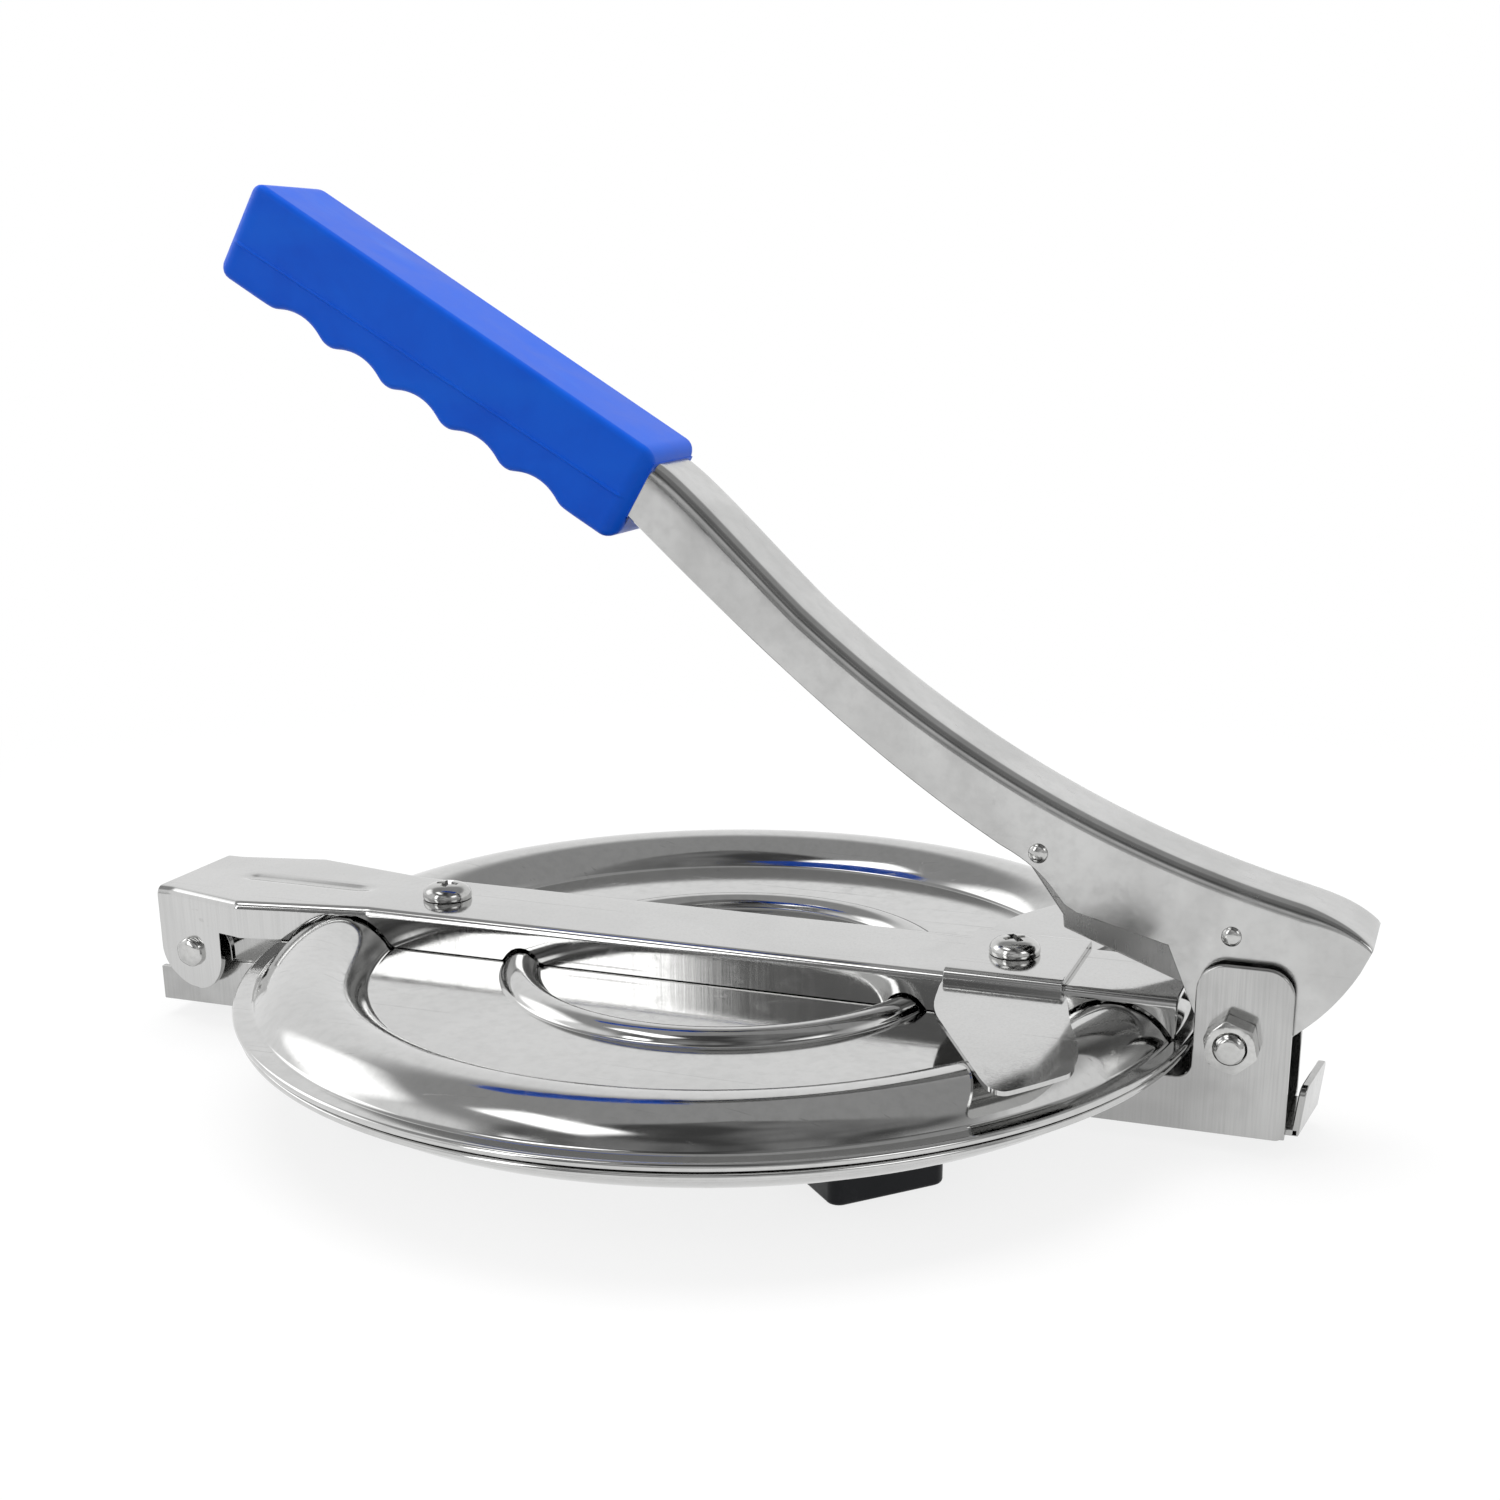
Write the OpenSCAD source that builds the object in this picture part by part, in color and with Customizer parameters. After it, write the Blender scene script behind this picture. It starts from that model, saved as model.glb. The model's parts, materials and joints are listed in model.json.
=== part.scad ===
// Hand press for round flat breads: a two-disc steel press with an over-centre lever.
// Millimetres, +Z up. The origin is on the table, under the centre of the discs.
// X runs along the arm, from the rear hinge pin (-X) to the lever pivot (+X).

/* [Discs] */
// Outer radius of the upper disc, over its rolled rim
upper_r = 84; // [80:0.5:90]
// How much smaller the lower disc is, in radius
lower_inset = 0.6; // [0.4:0.1:1]
// Height of the upper disc's flat top above the table
disc_top_z = 18.8; // [18:0.1:19.5]
// Free space between the two pressing faces when closed
press_gap = 0.4; // [0.3:0.1:0.8]
// Sheet thickness of the two formed discs
disc_t = 0.7; // [0.5:0.05:0.8]
// Thickness of the two flat pressing plates
plate_t = 0.6; // [0.5:0.05:0.8]
// Distance from the upper disc's rim in to the crest of the broad outer ring
ring_inset = 12.4; // [12:0.1:13.4]
// Half width of the broad outer ring
ring_half_w = 9.2; // [8:0.2:9.6]
// Height of the broad outer ring
ring_h = 5.2; // [4:0.1:5.4]
// Radius at the crest of the small inner ring
bead_r = 36.8; // [34:0.2:40]
// Half width of the small inner ring
bead_half_w = 3.1; // [2.5:0.1:4]
// Height of the small inner ring
bead_h = 2.2; // [1.5:0.1:2.6]

/* [Arm] */
// Half width of the arm over its flanges
arm_half_w = 11; // [10.6:0.1:11.4]
// Half width of the arm at its widest, near the hinge
arm_wide_half_w = 15.5; // [14:0.5:17]
// Sheet thickness of the arm and its saddle
arm_t = 1.2; // [1:0.1:1.4]
// Height of the arm over its flanges
arm_h = 6.85; // [6.7:0.05:7.4]
// Distance of the arm's end from the lever pivot
tip_gap = 9.3; // [8.9:0.1:10.3]
// Distance of the arm screw near the hinge inside the crest of the broad ring
screw_inset = 16; // [15:0.2:20]
// Distance of the saddle's left edge inside the crest of the broad ring
saddle_inset = 29.5; // [28.5:0.1:30.5]
// Length of the saddle along the arm
saddle_l = 20.2; // [18:0.2:21]
// Distance of the saddle's screw from the saddle's left edge
saddle_screw = 9.3; // [8:0.1:11]

/* [Base] */
// Half width of the base channel
base_half_w = 10.4; // [10.2:0.05:10.45]
// Sheet thickness of the base channel
base_t = 1.2; // [1:0.1:1.4]
// Height of the underside of the base channel above the table
base_z = 3.2; // [3:0.1:4]
// Length of a foot across the radius
foot_l = 20; // [16:0.5:24]
// Width of a foot along the radius
foot_w = 12.5; // [10:0.5:13]
// Distance of a foot's centre inside the upper disc's rim
foot_inset = 29.2; // [29:0.2:33]

/* [Rear hinge] */
// Distance of the rear hinge outside the upper disc's rim
hinge_reach = 17.8; // [17:0.1:18.5]
// Distance of the rear hinge below the disc's flat top
hinge_drop = 4.5; // [4:0.1:4.8]
// Radius of the rear hinge pin
hinge_pin_r = 2.3; // [2:0.1:2.6]
// Radius of the rounded ears of the arm
ear_r = 7.2; // [6.8:0.1:7.4]

/* [Lever pivot] */
// Distance of the lever pivot outside the upper disc's rim
pivot_reach = 6.3; // [6:0.1:7]
// Height of the lever pivot above the disc's flat top
pivot_rise = 0.9; // [0.6:0.1:1.2]
// Radius of the pivot bolt
pivot_r = 2.5; // [2.3:0.1:2.6]
// Across-flats size of the bolt head and the nut
hex_af = 8; // [7.5:0.1:8]

/* [Lever] */
// Half width of the lever over its cheeks
lever_half_w = 7.9; // [7.5:0.05:8]
// Sheet thickness of the lever and its shoe
lever_t = 1.2; // [1:0.1:1.3]
// Length of the lever's tang inside the grip
tang_l = 60; // [50:1:64]

/* [Grip] */
// Half width of the grip
grip_half_w = 9.5; // [9.3:0.1:10.5]
// Depth of the grip, from its back to its finger side
grip_h = 16.8; // [16.4:0.2:19]
// Length of the grip
grip_l = 81.6; // [78:0.2:92]
// Slope of the grip above the table, lever closed
grip_slope = 30.4; // [30:0.2:32]
// Depth of the finger hollows
finger_depth = 1.7; // [1:0.1:2]
// Radius of the rounded edges along the grip
grip_edge_r = 1.2; // [0.8:0.2:4]

/* [Hidden] */
$fn = 96;
eps = 0.01;
far = 300;

fit = 0.05;                     // radial clearance of a running pin
seat = 0.02;                    // radial clearance of a fixed pin or rivet
ring_gap = 0.45;                // room between an upright wall and a ring of a disc

// Places along the discs
lower_r = upper_r - lower_inset;
ring_r = upper_r - ring_inset;
hinge_x = -(upper_r + hinge_reach);
pivot_x = upper_r + pivot_reach;

// Heights through the discs
upper_sheet_z = disc_top_z - disc_t;
upper_plate_z = upper_sheet_z - plate_t;
lower_plate_z = upper_plate_z - press_gap - plate_t;
lower_sheet_z = lower_plate_z - disc_t;
rim_roll_r = (disc_t + plate_t) / 2;
plate_edge_gap = 0.1;

// Heights of the two pivots
hinge_z = disc_top_z - hinge_drop;
pivot_z = disc_top_z + pivot_rise;

// Arm
arm_disc_gap = 0.1;
arm_ear_gap = 0.2;              // between an ear of the arm and an ear of the base
arm_bottom_z = disc_top_z + arm_disc_gap;
arm_top_z = arm_bottom_z + arm_h;
arm_web_z = arm_top_z - arm_t;
arm_left_x = hinge_x - ear_r;
arm_flare_x = hinge_x + 2.8;    // here the arm starts to widen
arm_wide_x = hinge_x + 11.8;
arm_narrow_x = hinge_x + 35.8;
arm_tip_x = pivot_x - tip_gap;
ear_half_w = base_half_w + arm_ear_gap + arm_t;
screw_left_x = -(ring_r - screw_inset);
saddle_x = ring_r - saddle_inset;
saddle_side_h = 7.2;
screw_right_x = saddle_x + saddle_screw;

// Base channel
base_left_x = hinge_x - 9;
base_right_x = pivot_x + 11.2;
base_web_top = base_z + base_t;
base_low_wall_z = base_z + 6.5;
base_shoulder_z = base_z + 9.2;
base_ear_r = ear_r - 0.6;
base_screw_x = upper_r - 34;
high_wall_x = ring_r - 7.6;     // the walls stand at full height up to here
wall_end_x = upper_r - 4;
fork_left_x = pivot_x - 6.5;
fork_right_x = pivot_x + 9.2;
fork_top_z = pivot_z + 12.4;
fork_corner_r = 4.5;
fork_fillet_r = 2.5;
tab_half_w = 7.4;
tab_h = 8.6;
foot_r = upper_r - foot_inset;
foot_recess_h = 3;

screw_r = 2;
screw_head_r = 4.4;
screw_head_h = 2.8;
standoff_r = 3.5;
rivet_r = 1.5;

// The lever, its shoe and its grip, in X and Z from the pivot
shoe_half_w = lever_half_w - lever_t - 0.05;
hub_r = 6.2;                    // radius of the cheeks round the pivot bolt
shoe_hub_r = hub_r - 0.3;
front_rivet = [-33.7, 27.3];
rear_rivet = [-1.7, 16.6];
heel = [20.6, 16.8];            // the web ends here, in a sharp corner
lip_left = [-29.3, 14.8];       // the shoe's lip bears on the tip of the arm
lip_right = [-8.1, 7];
washer_t = base_half_w - base_t - lever_half_w - 0.1;
grip_front = [-102.6, 80.6];    // the tang begins here
tang_top = 6.4;                 // top of the tang over the grip's axis
tang_bottom = -3.4;

// A point given along the grip's axis, from its front end, and square to it
function on_grip(along, above) = grip_front
    + along * [cos(grip_slope), -sin(grip_slope)]
    + above * [sin(grip_slope), cos(grip_slope)];

// A point on a cubic curve
function cubic(a, b, c, d, t) =
    pow(1 - t, 3) * a + 3 * pow(1 - t, 2) * t * b + 3 * (1 - t) * t * t * c + pow(t, 3) * d;
function curve(a, b, c, d, n, first = 0) = [for (i = [first : n]) cubic(a, b, c, d, i / n)];

// A line of points moved sideways, to the right of its own direction
function beside(points, gap) = [
    for (i = [0 : len(points) - 1])
        let (a = points[max(i - 1, 0)], b = points[min(i + 1, len(points) - 1)],
             t = (b - a) / norm(b - a))
        points[i] + gap * [t[1], -t[0]]];

// Extrudes an outline drawn in X and Z to a plate centred on Y = 0
module side_plate(half_w) {
    rotate([90, 0, 0])
        linear_extrude(height = 2 * half_w, center = true)
            children();
}

// A cylinder along Y
module cross_pin(x, z, r, y0, y1) {
    translate([x, y1, z])
        rotate([90, 0, 0])
            cylinder(r = r, h = y1 - y0);
}

// A rectangle with round corners, centred
module round_rect(w, h, r) {
    square([w - 2 * r, h], center = true);
    square([w, h - 2 * r], center = true);
    for (sx = [-1, 1], sy = [-1, 1])
        translate([sx * (w / 2 - r), sy * (h / 2 - r)])
            circle(r = r);
}

// A pan-head screw pointing down, with a cross recess
module pan_screw(shank_l) {
    recess_w = 1.1;
    recess_l = 4.6;
    recess_depth = 1.5;
    difference() {
        union() {
            intersection() {
                cylinder(r = screw_head_r, h = screw_head_h);
                translate([0, 0, screw_head_h - 6])
                    sphere(r = 6);
            }
            translate([0, 0, -shank_l])
                cylinder(r = screw_r, h = shank_l + eps);
        }
        for (a = [0, 90])
            rotate([0, 0, a])
                translate([-recess_l / 2, -recess_w / 2, screw_head_h - recess_depth])
                    cube([recess_l, recess_w, recess_depth + 1]);
    }
}

// ---- Formed discs ---------------------------------------------------------------------

// Radius of the arc over a chord
function arc_r(half_w, h) = (half_w * half_w + h * h) / (2 * h);

// The room that the rings of a disc take in an upright wall at a distance y from the
// centre, over the disc's flat
module ring_room(y) {
    for (s = [-1, 1], ring = [[ring_r, ring_half_w, ring_h], [bead_r, bead_half_w, bead_h]])
        let (arc = arc_r(ring[1], ring[2]), x = sqrt(pow(ring[0], 2) - pow(y, 2)))
            translate([s * x, ring[2] - arc])
                circle(r = arc + ring_gap);
}

// Half section of a formed disc: flat, small ring, flat, broad ring, rolled rim.
// The top of the flat is at 0.
module disc_section(outer_r) {
    ring_arc = arc_r(ring_half_w, ring_h);
    bead_arc = arc_r(bead_half_w, bead_h);
    difference() {
        union() {
            translate([0, -disc_t])
                square([outer_r - rim_roll_r, disc_t]);
            intersection() {
                union() {
                    translate([ring_r, ring_h - ring_arc])
                        circle(r = ring_arc);
                    translate([bead_r, bead_h - bead_arc])
                        circle(r = bead_arc);
                }
                translate([0, -disc_t])
                    square([outer_r, ring_h + disc_t + 1]);
            }
        }
        translate([ring_r, ring_h - ring_arc])
            circle(r = ring_arc - disc_t);
        translate([bead_r, bead_h - bead_arc])
            circle(r = bead_arc - disc_t);
    }
    translate([outer_r - rim_roll_r, -rim_roll_r])
        circle(r = rim_roll_r);
}

module upper_disc() {
    color("gainsboro")
        translate([0, 0, disc_top_z])
            rotate_extrude($fn = 180)
                disc_section(upper_r);
}

module upper_press_plate() {
    color("silver")
        translate([0, 0, upper_plate_z])
            cylinder(r = upper_r - 2 * rim_roll_r - plate_edge_gap, h = plate_t, $fn = 180);
}

module lower_disc() {
    color("gainsboro")
        difference() {
            translate([0, 0, lower_sheet_z])
                mirror([0, 0, 1])
                    rotate_extrude($fn = 180)
                        disc_section(lower_r);
            at_feet()
                translate([0, 0, lower_sheet_z - 1])
                    cylinder(r = rivet_r + seat, h = disc_t + 2);
        }
}

module lower_press_plate() {
    color("silver")
        translate([0, 0, lower_plate_z])
            cylinder(r = lower_r - 2 * rim_roll_r - plate_edge_gap, h = plate_t, $fn = 180);
}

module upper_standoffs() {
    color("darkgray")
        for (x = [screw_left_x, screw_right_x])
            translate([x, 0, disc_top_z])
                difference() {
                    cylinder(r = standoff_r, h = arm_web_z - disc_top_z);
                    translate([0, 0, 1])
                        cylinder(r = screw_r + seat, h = arm_h);
                }
}

module lower_standoffs() {
    color("darkgray")
        for (x = [-base_screw_x, base_screw_x])
            translate([x, 0, base_web_top])
                difference() {
                    cylinder(r = standoff_r, h = lower_sheet_z - base_web_top);
                    translate([0, 0, -1])
                        cylinder(r = screw_r + seat, h = lower_sheet_z - base_web_top);
                }
}

// ---- Base -----------------------------------------------------------------------------

// Outline of the base channel's walls, seen from the front
module base_wall_outline() {
    wall_top = lower_sheet_z;
    difference() {
        union() {
            translate([base_left_x, base_z])
                square([fork_right_x - base_left_x, base_low_wall_z - base_z]);
            translate([hinge_x, hinge_z])
                circle(r = base_ear_r);
            translate([hinge_x - base_ear_r, base_z])
                square([2 * base_ear_r, hinge_z - base_z]);
            translate([hinge_x, base_z])
                square([fork_left_x + 1 - hinge_x, base_shoulder_z - base_z]);
            translate([-high_wall_x, base_z])
                square([2 * high_wall_x, wall_top - base_z]);
            fork_outline();
        }
        translate([0, wall_top])
            mirror([0, 1])
                ring_room(base_half_w - base_t / 2);
        translate([hinge_x, hinge_z])
            circle(r = hinge_pin_r + seat);
    }
}

// One upright ear of the lever fork, with its fillet to the low wall
module fork_outline() {
    w = fork_right_x - fork_left_x;
    difference() {
        union() {
            translate([fork_left_x, base_z])
                square([w, fork_top_z - fork_corner_r - base_z]);
            translate([fork_left_x + fork_corner_r, base_z])
                square([w - 2 * fork_corner_r, fork_top_z - base_z]);
            for (x = [fork_left_x + fork_corner_r, fork_right_x - fork_corner_r])
                translate([x, fork_top_z - fork_corner_r])
                    circle(r = fork_corner_r);
            translate([fork_left_x - fork_fillet_r, base_shoulder_z - eps])
                difference() {
                    square(fork_fillet_r + eps);
                    translate([0, fork_fillet_r + eps])
                        circle(r = fork_fillet_r);
                }
        }
        translate([pivot_x, pivot_z])
            circle(r = pivot_r + seat);
    }
}

module base_channel() {
    inner = base_half_w - base_t;
    color("silver")
        difference() {
            union() {
                difference() {
                    side_plate(base_half_w)
                        base_wall_outline();
                    translate([-far, -inner, base_web_top])
                        cube([2 * far, 2 * inner, far]);
                }
                translate([fork_right_x - eps, -tab_half_w, base_z])
                    cube([base_right_x - fork_right_x + eps, 2 * tab_half_w, base_t]);
                translate([base_right_x - base_t, -tab_half_w, base_z])
                    cube([base_t, 2 * tab_half_w, tab_h]);
            }
            for (x = [-base_screw_x, base_screw_x])
                translate([x, 0, base_z - 1])
                    cylinder(r = screw_r + seat, h = base_t + 2);
        }
}

module base_screws() {
    engaged = 5;
    color("silver")
        for (x = [-base_screw_x, base_screw_x])
            translate([x, 0, base_z])
                mirror([0, 0, 1])
                    pan_screw(base_t + engaged);
}

// Places its children at the four feet
module at_feet() {
    for (a = [-45, -135, 135, 45])
        rotate([0, 0, a])
            translate([foot_r, 0, 0])
                children();
}

module foot(angle) {
    corner_r = 2;
    recess_r = 4;
    color([0.05, 0.05, 0.06])
        rotate([0, 0, angle])
            translate([foot_r, 0, 0])
                difference() {
                    linear_extrude(height = lower_sheet_z)
                        round_rect(foot_w, foot_l, corner_r);
                    translate([0, 0, -1])
                        cylinder(r = recess_r, h = foot_recess_h + 1);
                    translate([0, 0, -1])
                        cylinder(r = rivet_r + seat, h = lower_sheet_z + 2);
                }
}

module foot_front_right() { foot(-45); }
module foot_front_left() { foot(-135); }
module foot_rear_left() { foot(135); }
module foot_rear_right() { foot(45); }

module foot_rivets() {
    head_r = 3;
    head_h = 1.4;
    color("silver")
        at_feet()
            union() {
                translate([0, 0, foot_recess_h - head_h])
                    cylinder(r = head_r, h = head_h);
                translate([0, 0, foot_recess_h - eps])
                    cylinder(r = rivet_r, h = lower_plate_z - foot_recess_h + eps);
            }
}

// ---- Pins and bolt --------------------------------------------------------------------

module hinge_pin() {
    head_r = 2.8;
    head_h = 2.2;
    reach = ear_half_w + 0.05;
    color("silver")
        union() {
            cross_pin(hinge_x, hinge_z, hinge_pin_r, -reach - 0.5, reach + 0.5);
            for (s = [-1, 1])
                translate([hinge_x, s * reach, hinge_z])
                    rotate([-90 * s, 0, 0])
                        intersection() {
                            cylinder(r = head_r, h = head_h);
                            translate([0, 0, head_h - 4])
                                sphere(r = 4);
                        }
        }
}

// A hexagon across its flats, extruded along Y from y0 to y1
module hex_along_y(y0, y1) {
    translate([pivot_x, y1, pivot_z])
        rotate([90, 0, 0])
            cylinder(r = hex_af / 2 / cos(30), h = y1 - y0, $fn = 6);
}

module pivot_bolt() {
    head_h = 3.5;
    tail = 5.4;
    color("silver")
        union() {
            hex_along_y(base_half_w, base_half_w + head_h);
            cross_pin(pivot_x, pivot_z, pivot_r, -base_half_w - tail, base_half_w + 1);
        }
}

module pivot_nut() {
    nut_h = 4;
    color("silver")
        difference() {
            hex_along_y(-base_half_w - nut_h, -base_half_w);
            cross_pin(pivot_x, pivot_z, pivot_r + seat, -base_half_w - nut_h - 1, -base_half_w + 1);
        }
}

module pivot_washers() {
    washer_r = 5.5;
    color("darkgray")
        for (s = [-1, 1])
            translate([0, s * (base_half_w - base_t - washer_t / 2), 0])
                difference() {
                    cross_pin(pivot_x, pivot_z, washer_r, -washer_t / 2, washer_t / 2);
                    cross_pin(pivot_x, pivot_z, pivot_r + seat, -washer_t, washer_t);
                }
}

// ---- Arm ------------------------------------------------------------------------------

// Plan of the arm, drawn inwards by inset
module arm_plan(inset) {
    side = [[-far, ear_half_w], [arm_flare_x, ear_half_w], [arm_wide_x, arm_wide_half_w],
            [arm_narrow_x, arm_half_w], [arm_tip_x, arm_half_w]];
    last = len(side) - 1;
    polygon(concat(
        [for (p = side) [p[0], inset - p[1]]],
        [for (i = [last : -1 : 0]) [side[i][0], side[i][1] - inset]]));
}

// Outline of the arm's flanges, seen from the front: round ear, flange, and the
// hollows that let it sit over the two rings of the disc
module arm_flange_outline() {
    ear_right_x = hinge_x + ear_r;
    slot = [hinge_x + 11.4, arm_bottom_z + 1.9];
    slot_l = 5;
    slot_h = 2.6;
    difference() {
        union() {
            translate([hinge_x, hinge_z])
                circle(r = ear_r);
            translate([arm_left_x, hinge_z])
                square([2 * ear_r, arm_top_z - hinge_z]);
            translate([ear_right_x - 1, arm_bottom_z])
                square([arm_tip_x - ear_right_x + 1, arm_h]);
        }
        translate([0, disc_top_z])
            ring_room(arm_half_w - arm_t / 2);
        translate(slot)
            round_rect(slot_l, slot_h, 0.48 * slot_h);
        translate([hinge_x, hinge_z])
            circle(r = hinge_pin_r + fit);
    }
}

module top_arm() {
    groove_l = 26;
    groove_r = 1.6;
    groove_depth = 0.7;
    groove_x = hinge_x + 16.8;
    color("gainsboro")
        difference() {
            intersection() {
                difference() {
                    linear_extrude(height = arm_top_z)
                        arm_plan(0);
                    translate([0, 0, -1])
                        linear_extrude(height = arm_web_z + 1)
                            arm_plan(arm_t);
                }
                union() {
                    side_plate(2 * arm_wide_half_w)
                        arm_flange_outline();
                    translate([arm_left_x, -arm_wide_half_w, arm_web_z])
                        cube([arm_tip_x - arm_left_x, 2 * arm_wide_half_w, arm_t]);
                }
            }
            for (x = [screw_left_x, screw_right_x])
                translate([x, 0, arm_web_z - 1])
                    cylinder(r = screw_r + seat, h = arm_t + 2);
            translate([groove_x, 0, arm_top_z + groove_r - groove_depth])
                rotate([0, 90, 0])
                    cylinder(r = groove_r, h = groove_l, center = true);
        }
}

module arm_saddle() {
    outer = arm_half_w + arm_t;
    top = arm_top_z + arm_t;
    color("gainsboro")
        difference() {
            translate([saddle_x, -outer, top - saddle_side_h])
                cube([saddle_l, 2 * outer, saddle_side_h]);
            translate([saddle_x - 1, -arm_half_w, 0])
                cube([saddle_l + 2, 2 * arm_half_w, arm_top_z]);
            translate([screw_right_x, 0, arm_top_z - 1])
                cylinder(r = screw_r + seat, h = arm_t + 2);
            side_plate(far)
                translate([0, disc_top_z])
                    ring_room(arm_half_w + arm_t / 2);
        }
}

module arm_screws() {
    engaged = 4;
    color("silver")
        union() {
            translate([screw_left_x, 0, arm_top_z])
                pan_screw(arm_t + engaged);
            translate([screw_right_x, 0, arm_top_z + arm_t])
                rotate([0, 0, 30])
                    pan_screw(2 * arm_t + engaged);
        }
}

// ---- Lever ----------------------------------------------------------------------------

module at_pivot() {
    translate([pivot_x, 0, pivot_z])
        children();
}

// The lever's back, from the tang inside the grip down to the heel
function lever_back(reach) = concat(
    [on_grip(-reach, tang_top)],
    curve(on_grip(0, tang_top), [-66.8, 52.5], [-32.3, 32], [8.7, 22.6], 28),
    curve([8.7, 22.6], [13.3, 21.4], [17.7, 19.7], heel, 6, 1));

// The lower edge of its cheeks, from the heel round the pivot and up to the tang
function lever_belly(reach) = concat(
    curve(heel, [20, 11.8], [16.3, 6.5], [9.5, 1.2], 8, 1),
    [for (a = [-20 : -17 : -190]) hub_r * [cos(a), sin(a)]],
    [[-11.8, 14], [-28.3, 18.2]],
    curve([-29.1, 19], [-32.8, 24], [-35.3, 25.8], [-40.3, 28.2], 5),
    curve([-42.3, 29.4], [-62.3, 41], [-84.3, 59.5], on_grip(0, tang_bottom), 18),
    [on_grip(-reach, tang_bottom)]);

// A U channel: one bent sheet, open below and at the heel, with the tang at its left end
module lever_channel() {
    past_tang = 20;
    color("gainsboro")
        at_pivot()
            difference() {
                side_plate(lever_half_w)
                    polygon(concat(lever_back(tang_l), lever_belly(tang_l)));
                side_plate(lever_half_w - lever_t)
                    polygon(concat(
                        beside(lever_back(tang_l + past_tang), lever_t),
                        [[far, heel[1] - lever_t], [far, -far], [-far, -far], [-far, far / 4]]));
                cross_pin(0, 0, pivot_r + fit, -far, far);
                for (p = [front_rivet, rear_rivet])
                    cross_pin(p[0], p[1], rivet_r + seat, -far, far);
            }
}

module presser_shoe() {
    color("silver")
        at_pivot()
            difference() {
                side_plate(shoe_half_w)
                    shoe_outline();
                side_plate(shoe_half_w - lever_t)
                    shoe_cavity();
                cross_pin(0, 0, pivot_r + fit, -far, far);
                for (p = [front_rivet, rear_rivet])
                    cross_pin(p[0], p[1], rivet_r + seat, -far, far);
            }
}

module shoe_outline() {
    polygon(concat(
        [front_rivet + [-4.2, 1.1], lip_left + [-0.2, 2.2], lip_left, lip_right],
        [for (a = [-190 : 20 : 10]) shoe_hub_r * [cos(a), sin(a)]],
        [rear_rivet + [7.4, 3.4], rear_rivet + [0, 4.5], front_rivet + [3.4, 3.2],
         front_rivet + [-2.6, 4]]));
}

// Everything between the shoe's side plates but its bottom web
module shoe_cavity() {
    web = [0, 1.1 * lever_t];
    polygon([
        [-far, far], [-far, 0], lip_left + [-9, -4.5], lip_left + web, lip_right + web,
        lip_right + [0.6, -12], [far, -far], [far, far]]);
}

module shoe_rivets() {
    head_r = 2.1;
    head_h = 0.9;
    dome_r = 3;
    color("silver")
        at_pivot()
            for (p = [front_rivet, rear_rivet])
                union() {
                    cross_pin(p[0], p[1], rivet_r, -lever_half_w - eps, lever_half_w + eps);
                    for (s = [-1, 1])
                        translate([p[0], s * lever_half_w, p[1]])
                            rotate([-90 * s, 0, 0])
                                intersection() {
                                    cylinder(r = head_r, h = head_h);
                                    translate([0, 0, head_h - dome_r])
                                        sphere(r = dome_r);
                                }
                }
}

// ---- Grip -----------------------------------------------------------------------------

// A block with rounded edges: each rounding tool stands a little outside the block, so
// that no two of their faces lie in one plane
module grip_block() {
    end_r = 2.8;
    skin = 0.5;
    intersection() {
        translate([-grip_l - end_r, 0, 0])
            rotate([90, 0, 90])
                linear_extrude(height = grip_l + 2 * end_r)
                    round_rect(2 * grip_half_w, grip_h, grip_edge_r);
        side_plate(2 * grip_half_w)
            translate([-grip_l / 2, 0])
                round_rect(grip_l, grip_h + 2 * skin, end_r);
        translate([-grip_l / 2, 0, -grip_h])
            linear_extrude(height = 2 * grip_h)
                round_rect(grip_l + 2 * skin, 2 * (grip_half_w + skin), end_r + skin);
    }
}

module grip() {
    fingers = 5;
    front_margin = 9.8;
    end_margin = 11;
    land = 2.3;
    pocket_gap = 0.1;
    pitch = (grip_l - front_margin - end_margin) / fingers;
    finger_arc = arc_r((pitch - land) / 2, finger_depth);
    color([0.08, 0.32, 0.82])
        at_pivot()
            translate([grip_front[0], 0, grip_front[1]])
                rotate([0, grip_slope, 0])
                    difference() {
                        grip_block();
                        for (i = [0 : fingers - 1])
                            cross_pin(-front_margin - (i + 0.5) * pitch,
                                      finger_depth - grip_h / 2 - finger_arc,
                                      finger_arc, -far, far);
                        translate([-tang_l - 0.5, -lever_half_w - pocket_gap,
                                   tang_bottom - pocket_gap])
                            cube([tang_l + far, 2 * (lever_half_w + pocket_gap),
                                  tang_top - tang_bottom + 2 * pocket_gap]);
                    }
}

base_channel();
lower_disc();
lower_press_plate();
lower_standoffs();
base_screws();
foot_front_right();
foot_front_left();
foot_rear_left();
foot_rear_right();
foot_rivets();
hinge_pin();
pivot_bolt();
pivot_nut();
pivot_washers();
top_arm();
arm_saddle();
arm_screws();
upper_standoffs();
upper_disc();
upper_press_plate();
lever_channel();
presser_shoe();
shoe_rivets();
grip();
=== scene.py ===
import json
from math import atan2, cos, degrees, exp, hypot, pi, radians, sin, sqrt, tan

import bpy
from mathutils import Matrix, Vector


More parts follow.
